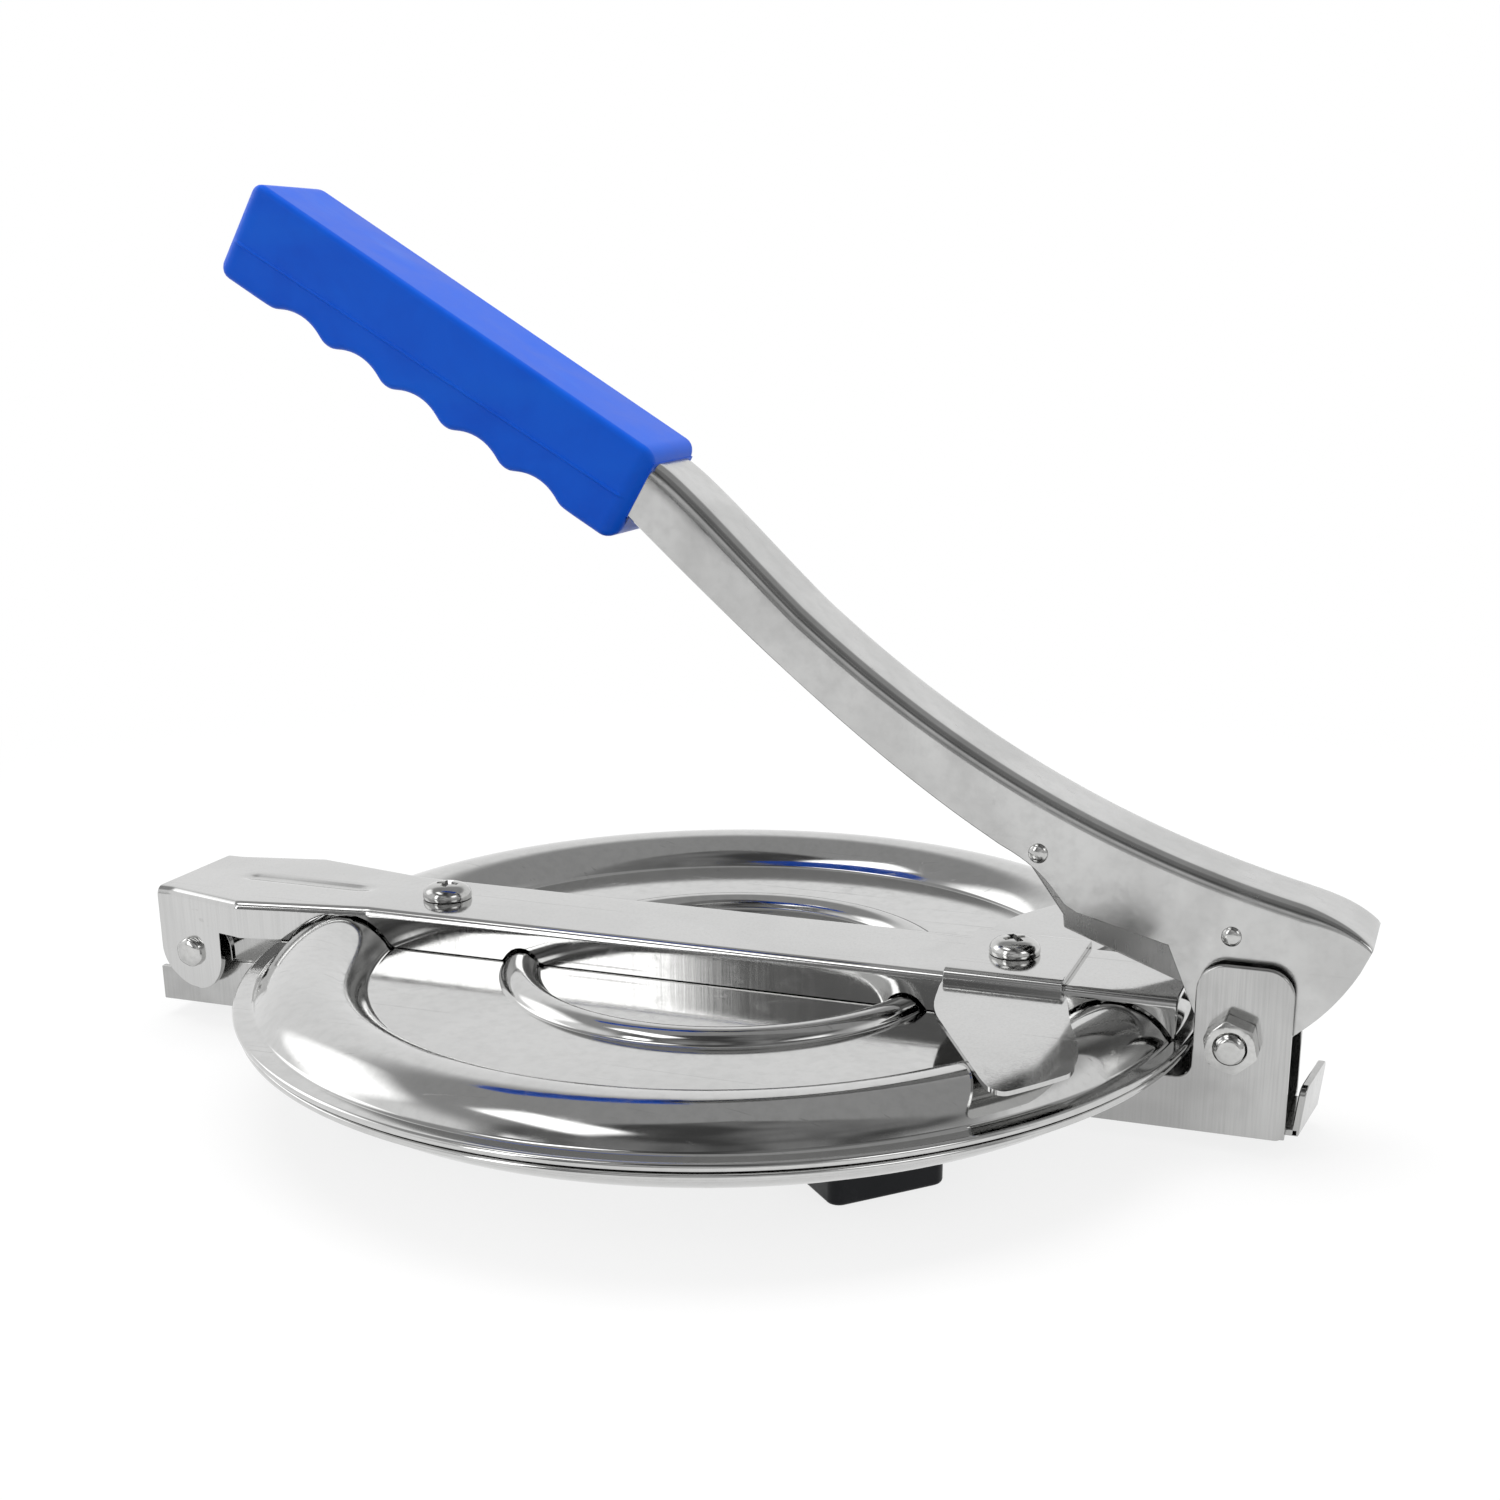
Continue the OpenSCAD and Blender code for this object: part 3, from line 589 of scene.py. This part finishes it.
# ---- Presser shoe ----------------------------------------------------------------------
# Two sides inside the lever's cheeks, and the lip below that bears on the arm
SHOE_HALF = LEVER_HALF - LEVER_T - 0.05
lip = [(61, 34.5), (82.2, 26.7)]
shoe_side = ([(52.4, 48.1), (60.8, 36.7)] + lip
             + arc(PIVOT[0], PIVOT[1], HUB_R - 0.3, 170, 370, 20)
             + [(96, 39.2), (88.6, 40.6), (60, 50.0), (54, 50.8)])
shoe_web = lip + [(x + 0.4, z + 1.3) for x, z in reversed(lip)]
piece("presser_shoe_plate",
      [prism(shoe_side, -SHOE_HALF, -SHOE_HALF + LEVER_T),
       prism(shoe_side, SHOE_HALF - LEVER_T, SHOE_HALF),
       prism(shoe_web, -SHOE_HALF + 0.5, SHOE_HALF - 0.5)],
      "lever", "shoe_steel", ["presser_shoe"], bevel=0.35)

# ---- Base channel ----------------------------------------------------------------------
LOW_WALL, SHOULDER = BASE_Z + 6.5, BASE_Z + 9.2     # heights of the wall past the discs
HIGH_WALL = RING[0] - 7.6                           # the wall is high up to this distance
BASE_EAR_R = 6.6
TAB_HALF, TAB_TOP, TAB_R = 7.4, 11.8, 1.8
BASE_LEFT, BASE_RIGHT, FORK_RIGHT = HINGE[0] - 9, PIVOT[0] + 11.2, PIVOT[0] + 9.2
FORK_LEFT, FORK_TOP, FORK_R, FORK_FILLET = PIVOT[0] - 6.5, PIVOT[1] + 12.4, 4.5, 2.5


def hollow(ring, height):
    """Arc of a ring's room in the upper edge of the walls, from one height and back to it"""
    R = arc_r(ring[1], ring[2])
    cx = sqrt(ring[0] ** 2 - (BASE_HALF - BASE_T / 2) ** 2)
    cz, r = LOWER_SHEET - ring[2] + R, R + RING_GAP
    half = degrees(atan2(sqrt(r * r - (cz - height) ** 2), cz - height))
    return arc(cx, cz, r, -90 - half, -90 + half, 14)


def base_wall():
    """Outline of a wall: ear, low wall, hollows under the rings, high wall and fork ear"""
    fork = (arc(FORK_LEFT - FORK_FILLET, SHOULDER + FORK_FILLET, FORK_FILLET, -90, 0, 6)
            + arc(FORK_LEFT + FORK_R, FORK_TOP - FORK_R, FORK_R, 180, 90, 8)
            + arc(FORK_RIGHT - FORK_R, FORK_TOP - FORK_R, FORK_R, 90, 0, 8))
    outer = hollow(RING, SHOULDER)
    rise = [p for p in hollow(RING, LOWER_SHEET) if p[0] < HIGH_WALL]
    half = hollow(BEAD, LOWER_SHEET) + rise + [(HIGH_WALL, SHOULDER)] + outer
    points = [(BASE_LEFT, BASE_Z), (BASE_LEFT, LOW_WALL), (HINGE[0] - BASE_EAR_R, LOW_WALL)]
    points += arc(HINGE[0], HINGE[1], BASE_EAR_R, 180, 0, 18)
    points.append((HINGE[0] + BASE_EAR_R, SHOULDER))
    points += [(-x, z) for x, z in reversed(half)] + half + fork
    return points + arc(FORK_RIGHT - 1.5, BASE_Z + 1.5, 1.5, 0, -90, 5)


def tab_lean(y, z):
    """The tab is bent a little askew: outwards at its far end and at its top"""
    return 1.7 * (y + TAB_HALF) / (2 * TAB_HALF) + 0.9 * (z - BASE_Z) / (TAB_TOP - BASE_Z)


wall, web_half = base_wall(), BASE_HALF - BASE_T / 2
tab = [(-TAB_HALF, BASE_Z), (TAB_HALF, BASE_Z)]
for side, angle in ((1, 0), (-1, 90)):
    tab += arc(side * (TAB_HALF - TAB_R), TAB_TOP - TAB_R, TAB_R, angle, angle + 90, 6)
base_parts = [
    prism(wall, -BASE_HALF, -BASE_HALF + BASE_T),
    prism(wall, BASE_HALF - BASE_T, BASE_HALF),
    prism(box(BASE_LEFT, FORK_RIGHT, BASE_Z, BASE_Z + BASE_T), -web_half, web_half),
    prism(box(FORK_RIGHT - 0.5, BASE_RIGHT - 0.1, BASE_Z, BASE_Z + BASE_T), -TAB_HALF, TAB_HALF),
    loft([[(x + tab_lean(y, z), y, z) for y, z in tab]
          for x in (BASE_RIGHT - BASE_T, BASE_RIGHT)]),
]
piece("base_channel_sheet", base_parts, "base", "base_steel", ["base_channel"], bevel=0.35)


# ---- Grip ------------------------------------------------------------------------------

def grip_shape():
    """The moulding along the grip's axis, with a hole for the tang at its front end"""
    half_w, half_h, edge, end = 9.5, 8.4, 1.2, 2.6      # edge and end: radii of the roundings
    fingers, front_margin, end_margin, land, depth = 5, 9.8, 11, 2.3, 1.7
    pitch = (GRIP_L - front_margin - end_margin) / fingers
    R = arc_r((pitch - land) / 2, depth)
    pocket_gap, ridge = 0.1, 0.28           # ridge: height of the mould's parting line

    def scallop(back):
        """Depth of the finger hollows at a distance behind the front end"""
        k = min(max(int((back - front_margin) // pitch), 0), fingers - 1)
        d = abs(back - front_margin - (k + 0.5) * pitch)
        raw = sqrt(R * R - d * d) - (R - depth) if d < R else depth - R
        return 0.5 * (raw + sqrt(raw * raw + 0.3))

    def section(u, inset):
        """Outline of the grip across its axis, at u along it"""
        w, h, r = half_w - inset, half_h - inset, max(edge - inset * 0.3, 0.5)
        low = -h + scallop(-u)
        part = -0.7 + 0.016 * u             # place of the parting line on the sides
        corners = [(w - r, h - r, 0), (-w + r, h - r, 90), (-w + r, low + r, 180),
                   (w - r, low + r, 270)]
        marks = [h * 0.5, part + 0.35, part + 0.12, part - 0.12, part - 0.35, low * 0.6]
        lift = [0, 0, ridge, ridge, 0, 0] if inset < 0.2 else [0] * 6
        loop = []
        for i, (cy, cz, a0) in enumerate(corners):
            loop += arc(cy, cz, r, a0, a0 + 90, 6)
            if i == 1:
                loop += [(-w - up, z) for up, z in zip(lift, marks)]
            elif i == 3:
                loop += [(w + up, z) for up, z in zip(lift, marks)][::-1]
        return loop

    def pocket():
        """Mouth of the hole for the tang, with one point for each of the outer loop"""
        hw = LEVER_HALF + pocket_gap
        lo, hi = TANG_BOTTOM - pocket_gap, TANG_TOP + pocket_gap
        loop = []
        for y, z in section(0, 0):
            py, pz = max(-hw, min(hw, y)), max(lo, min(hi, z))
            if abs(py) < hw and lo < pz < hi:
                py = hw if y > 0 else -hw
            loop.append((py, pz))
        return loop

    turns = [pi / 2 * i / 7 for i in range(8)]
    front = [(-end * (1 - cos(a)), end * (1 - sin(a))) for a in turns]
    back_end = [(-GRIP_L - u, inset) for u, inset in reversed(front)]
    middle = [(-u / 2, 0.0) for u in range(6, 2 * int(GRIP_L) - 5)]
    loops = [[(u, y, z) for y, z in pocket()] for u in (-6, 0)]
    loops += [[(u, y, z) for y, z in section(u, inset)] for u, inset in front + middle + back_end]
    return loft([[(x, y, z) for u, y, v in loop for x, z in [on_grip(u, v)]] for loop in loops])


piece("grip_moulding", [grip_shape()], "lever", "grip_plastic", ["grip"])


# ---- Feet ------------------------------------------------------------------------------

def round_rect(w, h, r, n=6):
    out = []
    for cx, cy, a in ((w / 2 - r, h / 2 - r, 0), (-w / 2 + r, h / 2 - r, 90),
                      (-w / 2 + r, -h / 2 + r, 180), (w / 2 - r, -h / 2 + r, 270)):
        out += arc(cx, cy, r, a, a + 90, n)
    return out


def foot_shape(angle):
    """A block with a blind hole for its rivet below, eased at its lower edge"""
    w, l, corner, ease, hole_r, place_r = 12.5, 20, 2, 0.7, 4, 54.8
    outer = round_rect(w, l, corner)
    turns = [atan2(y, x) for x, y in outer]
    hole, mouth = ([(r * cos(a), r * sin(a)) for a in turns] for r in (hole_r, hole_r * 1.06))
    sections = [(hole, 3.0), (hole, 0.3), (mouth, 0.0)]
    for k in range(5):
        inset = ease * (1 - sin(pi / 2 * k / 4))
        sections.append((round_rect(w - 2 * inset, l - 2 * inset, corner - inset * 0.6),
                         ease * (1 - cos(pi / 2 * k / 4))))
    sections += [(outer, 8), (outer, LOWER_SHEET)]
    c, s = cos(angle), sin(angle)
    return loft([[((place_r + x) * c - y * s, (place_r + x) * s + y * c, z) for x, y in loop]
                 for loop, z in sections])


for node, angle in (("foot_front_right", -45), ("foot_front_left", -135),
                    ("foot_rear_left", 135), ("foot_rear_right", 45)):
    piece(node + "_block", [foot_shape(radians(angle))], "base", "foot_plastic", [node])


# ---- Fasteners -------------------------------------------------------------------------

def about_y(cx, cz, side):
    """Places a turned shape's axis along Y, growing outwards on that side"""
    return lambda r, a, h: (cx + r * cos(a), side * h, cz + side * r * sin(a))


def hex_shape(cx, cz, side, y0, height, bore, turn=0.0):
    """A hexagon with a bore, its corners chamfered to a cone at both ends"""
    put = about_y(cx, cz, side)
    half, steps, ease, slope = 4.0, 72, 0.3, 0.58       # half: from the axis to a flat
    cone_r = half * 0.99
    angles = [2 * pi * k / steps for k in range(steps)]

    def corner(a):
        """Radius of the hexagon and depth of the chamfer at an angle"""
        r = half / cos((a + pi / 6 + turn) % (pi / 3) - pi / 6)
        return r, max(r - cone_r, 0) * slope + 0.04

    def end(y, inward):
        """From the bore to the side: the face at y, whose inner side is +1 or -1 along Y"""
        plain = [(bore, y + ease * inward), (bore + ease, y), (cone_r - 0.1, y)]
        return ([[put(r, a, h) for a in angles] for r, h in plain]
                + [[put(corner(a)[0], a, y + corner(a)[1] * inward) for a in angles]])

    return loft(end(y0, 1) + end(y0 + height, -1)[::-1], cyclic=True)


def thread_shape(cx, cz, side, y0, y1, r, pitch=0.8):
    """A threaded end with a chamfered, slightly domed tip"""
    put = about_y(cx, cz, side)
    steps, rows, depth, tip = 40, int((y1 - y0) / 0.1), 0.42, 0.5
    angles = [2 * pi * k / steps for k in range(steps)]
    loops = []
    for i in range(rows + 1):
        h = y0 + (y1 - tip - y0) * i / rows
        phases = [(h / pitch + k / steps) % 1 for k in range(steps)]
        loops.append([put(r - depth * (1 - abs(2 * phase - 1)) - 0.02, a, h)
                      for phase, a in zip(phases, angles)])
    for radius, below in ((r - 0.28, 0.34), (r - 0.55, 0.1), (r - 0.85, 0.01), (r - 1.5, 0),
                          (0.4, 0.12)):
        loops.append([put(radius, a, y1 - below) for a in angles])
    return loft(loops)


def plain_shaft(cx, cz, r, y0, y1):
    return lathe([(0, y0), (r, y0), (r, y1), (0, y1)], 40,
                 lambda r, a, h: (cx + r * cos(a), h, cz - r * sin(a)))


# Bolt: hexagon head at the back, threaded end and nut at the front
BOLT_R, HEAD_H, NUT_H, BOLT_END = 2.5, 3.5, 4.0, BASE_HALF + 5.4
head_face = BASE_HALF + HEAD_H
head_cap = lathe([(1.4, head_face), (1.2, head_face - 0.1), (0, head_face - 0.15)], 40,
                 about_y(*PIVOT, 1))
piece("pivot_bolt_turned",
      [hex_shape(*PIVOT, 1, BASE_HALF, HEAD_H, bore=0.6), head_cap,
       plain_shaft(*PIVOT, BOLT_R, -9.9, 12.0),
       thread_shape(*PIVOT, -1, 9.8, BOLT_END, BOLT_R)],
      "base", "fastener_steel", ["pivot_bolt"])
piece("pivot_nut_hex",
      [hex_shape(*PIVOT, -1, BASE_HALF, NUT_H, bore=BOLT_R + 0.02, turn=radians(12))],
      "base", "fastener_steel", ["pivot_nut"])

# Rear hinge pin with hammered ends
PIN_R = 2.3
PIN_HEAD = [(PIN_R, 12.5), (2.72, 12.66), (2.8, 13.0), (2.78, 13.5), (2.6, 13.95), (2.1, 14.25),
            (1.3, 14.38), (0, 14.4)]


def hammered(side):
    """Places a head of the pin, whose outline the hammer left a little uneven"""
    def uneven(a):
        return 1 - 0.05 * (0.5 + 0.5 * cos(6 * a + 0.6)) - 0.015 * cos(2 * a)
    put = about_y(*HINGE, side)
    return lambda r, a, h: put(r * uneven(a), a, h)


pin_heads = [lathe(PIN_HEAD, 48, hammered(side)) for side in (-1, 1)]
piece("hinge_pin_turned", [plain_shaft(*HINGE, PIN_R, -12.6, 12.6)] + pin_heads, "base",
      "fastener_steel", ["hinge_pin"])

# Cross rivets of the shoe
RIVET_HEAD = [(1.65, 7.8), (1.65, 8.0), (1.5, 8.25), (1.2, 8.45), (0.8, 8.58), (0.3, 8.64),
              (0, 8.65)]
piece("shoe_rivet_heads",
      [lathe(RIVET_HEAD, 36, about_y(*rivet, side))
       for rivet in (FRONT_RIVET, REAR_RIVET) for side in (-1, 1)],
      "lever", "fastener_steel", ["shoe_rivets"])


# Screws of the arm: a pan head with a flat underside, a rounded rim and a domed top
HEAD_TOP = 2.8
PAN_HEAD = [(0, 0), (4.0, 0), (4.3, 0.1), (4.4, 0.45), (4.38, 0.9), (4.2, 1.45), (3.8, 1.95),
            (3.2, 2.35), (2.4, 2.62), (1.4, 2.76), (0, HEAD_TOP)]
SHANK_R, SHANK_BOTTOM = 2.0, 20.6


def upright(x, z, profile, steps):
    """A turned shape on an upright axis in the middle plane"""
    return lathe([(r, z + h) for r, h in profile], steps,
                 lambda r, a, h: (x + r * cos(a), r * sin(a), h))


def cross_tool(x, z, turn):
    """Tapered cross that cuts the recess of a screw whose top is at z"""
    shapes = []
    for extra in (0, pi / 2):
        c, s = cos(turn + extra), sin(turn + extra)
        shapes.append(loft([[(x + a * c - b * s, a * s + b * c, z + h)
                             for a, b in ((-l, -w), (l, -w), (l, w), (-l, w))]
                            for h, l, w in ((-1.7, 0.7, 0.42), (0.6, 2.7, 0.72))]))
    return shapes


shanks = []
for label, x, z, turn, stands_for in (
        ("left", SCREW_LEFT, ARM_TOP, radians(8), ["arm_screws"]),
        ("right", SCREW_RIGHT, ARM_TOP + ARM_T, radians(38), [])):
    piece("arm_screw_" + label, [upright(x, z, PAN_HEAD, 56)], "arm", "fastener_steel",
          stands_for, holes=cross_tool(x, z + HEAD_TOP, turn))
    length = z + 0.2 - SHANK_BOTTOM
    shanks.append(upright(x, SHANK_BOTTOM,
                          [(0, 0), (SHANK_R, 0), (SHANK_R, length), (0, length)], 24))
piece("arm_screw_shanks", shanks, "arm", "fastener_steel")


# ---- Stage -----------------------------------------------------------------------------
CAM_AZ = 21.8067                            # azimuth of the camera, in degrees
# Brightness of the ceiling and of the wall behind the camera; heights where the ceiling begins
CEILING, FRONT_WALL, CEILING_EDGE = 0.38, 0.52, (0.54, 0.74)
# Azimuth, elevation, half width, half height, brightness, softness of the edge
SOFT_BOXES = (
    (-92, 28, 18, 15, 2.2, 0.5),
    (-29.5, 22, 6.0, 17, 3.4, 0.15),
    (-47, 61, 13, 6, 2.8, 0.35),
    (60, 30, 12, 9, 2.2, 0.4),
)
FLOOR_R, STUDIO_R = 4, 1.5                  # in metres
FLOOR_WHITE = (0.13, 0.34)                  # the seen floor turns white between these distances
WORLD_LIGHT = 0.55


def seen_rays(n):
    """1 for the rays that show the surface itself: from the camera, a mirror or glass"""
    rays = n.add("LightPath")
    seen = n.math("MAXIMUM", rays.outputs["Is Camera Ray"], rays.outputs["Is Glossy Ray"])
    return n.math("MAXIMUM", seen, rays.outputs["Is Transmission Ray"])


def floor_material():
    """Matt and pale; lifted to white where it is seen, and white from a short way off"""
    n = Nodes("floor_pale")
    seen = seen_rays(n)
    place = n.add("TexCoord").outputs["Object"]
    distance = n.add("VectorMath", {"operation": "LENGTH"}, _0=place).outputs["Value"]
    far = n.math("MULTIPLY", seen, n.spread(distance, *FLOOR_WHITE))
    color = n.mix(seen, (0.55, 0.55, 0.55, 1), (0.20, 0.20, 0.20, 1))
    n.finish(color, Roughness=1.0, Specular_IOR_Level=0.0)
    glow = n.add("Emission", Color=(1, 1, 1, 1), Strength=n.math("MULTIPLY", seen, 0.80))
    near = n.add("AddShader", _0=n.shader.outputs[0], _1=glow.outputs[0])
    white = n.add("Emission", Color=(1, 1, 1, 1), Strength=1.0)
    both = n.add("MixShader", _0=far, _1=near.outputs[0], _2=white.outputs[0])
    n.link(both.outputs[0], n.out.inputs[0])
    return n.material


def stage_mesh(name, points, faces, material):
    mesh = bpy.data.meshes.new(name)
    mesh.from_pydata(points, [], faces)
    mesh.materials.append(material)
    obj = bpy.data.objects.new(name, mesh)
    bpy.context.scene.collection.objects.link(obj)
    return obj


floor_ring = [(x, y, 0) for x, y in arc(0, 0, FLOOR_R, 0, 360, 64)[:-1]]
stage_mesh("floor", floor_ring, [list(range(64))], floor_material())


def sky(azimuth, elevation):
    """Direction seen from the press: azimuth in degrees from the front towards the right"""
    a, e = radians(azimuth), radians(elevation)
    return Vector((sin(a) * cos(e), -cos(a) * cos(e), sin(e)))


def studio_material():
    """White walls, a dark ceiling, the dark side behind the camera and a few soft boxes"""
    n = Nodes("studio_light")
    place = n.add("TexCoord").outputs["Object"]
    toward = n.add("VectorMath", {"operation": "NORMALIZE"}, _0=place).outputs[0]
    plan = n.add("VectorMath", {"operation": "MULTIPLY"}, _0=toward, _1=(1, 1, 0)).outputs[0]
    plan = n.add("VectorMath", {"operation": "NORMALIZE"}, _0=plan).outputs[0]

    def along(vector, direction):
        return n.add("VectorMath", {"operation": "DOT_PRODUCT"}, _0=vector,
                     _1=tuple(direction)).outputs["Value"]

    def soft_box(azimuth, elevation, half_w, half_h, level, edge):
        """Level inside a rectangle of the sky, fading to 0 over the edge's share"""
        centre = sky(azimuth, elevation)
        side = centre.cross(Vector((0, 0, 1))).normalized()
        depth = n.math("MAXIMUM", along(toward, centre), 0.001)
        value = level
        for axis, half in ((side, half_w), (side.cross(centre), half_h)):
            off = n.math("ABSOLUTE", n.math("DIVIDE", along(toward, axis), depth))
            t = tan(radians(half))
            value = n.math("MULTIPLY", n.spread(off, t * (1 - edge), t * (1 + edge), 1.0, 0.0),
                           value)
        return value

    height = along(toward, (0, 0, 1))
    camera_side = n.spread(along(plan, sky(CAM_AZ, 0)), 0.25, 0.60)
    total = n.math("MULTIPLY", n.spread(height, *CEILING_EDGE, 1.0, CEILING),
                   n.spread(camera_side, 0.0, 1.0, 1.0, FRONT_WALL))
    things = n.noise(n.add("Mapping", Vector=toward, Scale=(2.2, 2.2, 3.0)).outputs[0], 1.0, 2.0)
    total = n.math("MULTIPLY", total, n.add(
        "Mix", _0=camera_side, _2=1.0, _3=n.spread(things, 0.38, 0.62, 0.35, 1.25)).outputs[0])
    for boxes in SOFT_BOXES:
        total = n.math("MAXIMUM", total, soft_box(*boxes))
    light = n.add("Emission", Color=(1, 1, 1, 1), Strength=total)
    n.link(light.outputs[0], n.out.inputs[0])
    return n.material


ROWS, COLUMNS = 16, 48
dome_points = [tuple(sky(360 * k / COLUMNS, -6 + 96 * j / ROWS) * STUDIO_R)
               for j in range(ROWS) for k in range(COLUMNS)] + [(0, 0, STUDIO_R)]
dome_faces = [[j * COLUMNS + k, j * COLUMNS + (k + 1) % COLUMNS,
               (j + 1) * COLUMNS + (k + 1) % COLUMNS, (j + 1) * COLUMNS + k]
              for j in range(ROWS - 1) for k in range(COLUMNS)]
dome_faces += [[(ROWS - 1) * COLUMNS + k, (ROWS - 1) * COLUMNS + (k + 1) % COLUMNS,
                ROWS * COLUMNS] for k in range(COLUMNS)]
dome = stage_mesh("studio", dome_points, dome_faces, studio_material())
dome.visible_camera = dome.visible_diffuse = dome.visible_shadow = False
dome.visible_transmission = False


# The world is white where it is seen and gives even, weaker light elsewhere
world = bpy.data.worlds.new("studio")
bpy.context.scene.world = world
world.use_nodes = True
links, nodes = world.node_tree.links, world.node_tree.nodes
rays, level = nodes.new("ShaderNodeLightPath"), nodes.new("ShaderNodeMapRange")
last = rays.outputs["Is Camera Ray"]
for kind in ("Is Glossy Ray", "Is Transmission Ray"):
    either = nodes.new("ShaderNodeMath")
    either.operation = "MAXIMUM"
    links.new(last, either.inputs[0])
    links.new(rays.outputs[kind], either.inputs[1])
    last = either.outputs[0]
links.new(last, level.inputs[0])
level.inputs[3].default_value, level.inputs[4].default_value = WORLD_LIGHT, 1.0
background = nodes["Background"]
background.inputs["Color"].default_value = (1, 1, 1, 1)
links.new(level.outputs[0], background.inputs["Strength"])


def lamp(name, place, width, height, power):
    """An area lamp aimed at the press; the metal shows the studio's soft boxes instead"""
    data = bpy.data.lights.new(name, "AREA")
    data.shape, data.size, data.size_y, data.energy = "RECTANGLE", width, height, power
    obj = bpy.data.objects.new(name, data)
    obj.location = place
    obj.rotation_euler = (Vector((0, 0, 0.05)) - Vector(place)).to_track_quat("-Z", "Y").to_euler()
    obj.visible_glossy = False
    bpy.context.scene.collection.objects.link(obj)


lamp("top_softbox", (-0.1, 0.15, 1.0), 0.9, 0.7, 7.0)
lamp("left_softbox", (-1.0, -0.45, 0.45), 0.6, 0.45, 2.6)
lamp("right_softbox", (0.95, -0.35, 0.5), 0.35, 0.5, 1.3)

# ---- Camera ----------------------------------------------------------------------------
# Fitted to the photograph: the camera stands round the press and looks past its centre
CAM_EL, CAM_DISTANCE, CAM_TARGET_Z = 19.0437, 357.13, 18.7
roll, pan, tilt = radians(-0.8505), radians(5.5567), radians(1.0449)
FOCAL, FRAME_W, SENSOR = 2006.0, 1500, 36   # in pixels of the photograph, and millimetres
backward = sky(CAM_AZ, CAM_EL)
eye = backward * CAM_DISTANCE + Vector((0, 0, CAM_TARGET_Z))
level_r = (-backward).cross(Vector((0, 0, 1))).normalized()
level_u = level_r.cross(-backward)
rolled_r = level_r * cos(roll) + level_u * sin(roll)
rolled_u = -level_r * sin(roll) + level_u * cos(roll)
cam_r = rolled_r * cos(pan) + backward * sin(pan)
panned = rolled_r * sin(pan) - backward * cos(pan)
cam_u = rolled_u * cos(tilt) - panned * sin(tilt)
cam_w = rolled_u * sin(tilt) + panned * cos(tilt)
camera_data = bpy.data.cameras.new("camera")
camera_data.sensor_width = SENSOR
camera_data.lens = FOCAL / FRAME_W * SENSOR
camera_data.shift_x, camera_data.shift_y = -0.1178, 0.1197
camera_data.clip_start = 0.01
camera = bpy.data.objects.new("camera", camera_data)
camera.matrix_world = Matrix((
    (cam_r.x, cam_u.x, -cam_w.x, eye.x * MM),
    (cam_r.y, cam_u.y, -cam_w.y, eye.y * MM),
    (cam_r.z, cam_u.z, -cam_w.z, eye.z * MM),
    (0, 0, 0, 1)))
bpy.context.scene.collection.objects.link(camera)
bpy.context.scene.camera = camera
bpy.context.scene.view_settings.view_transform = "Standard"
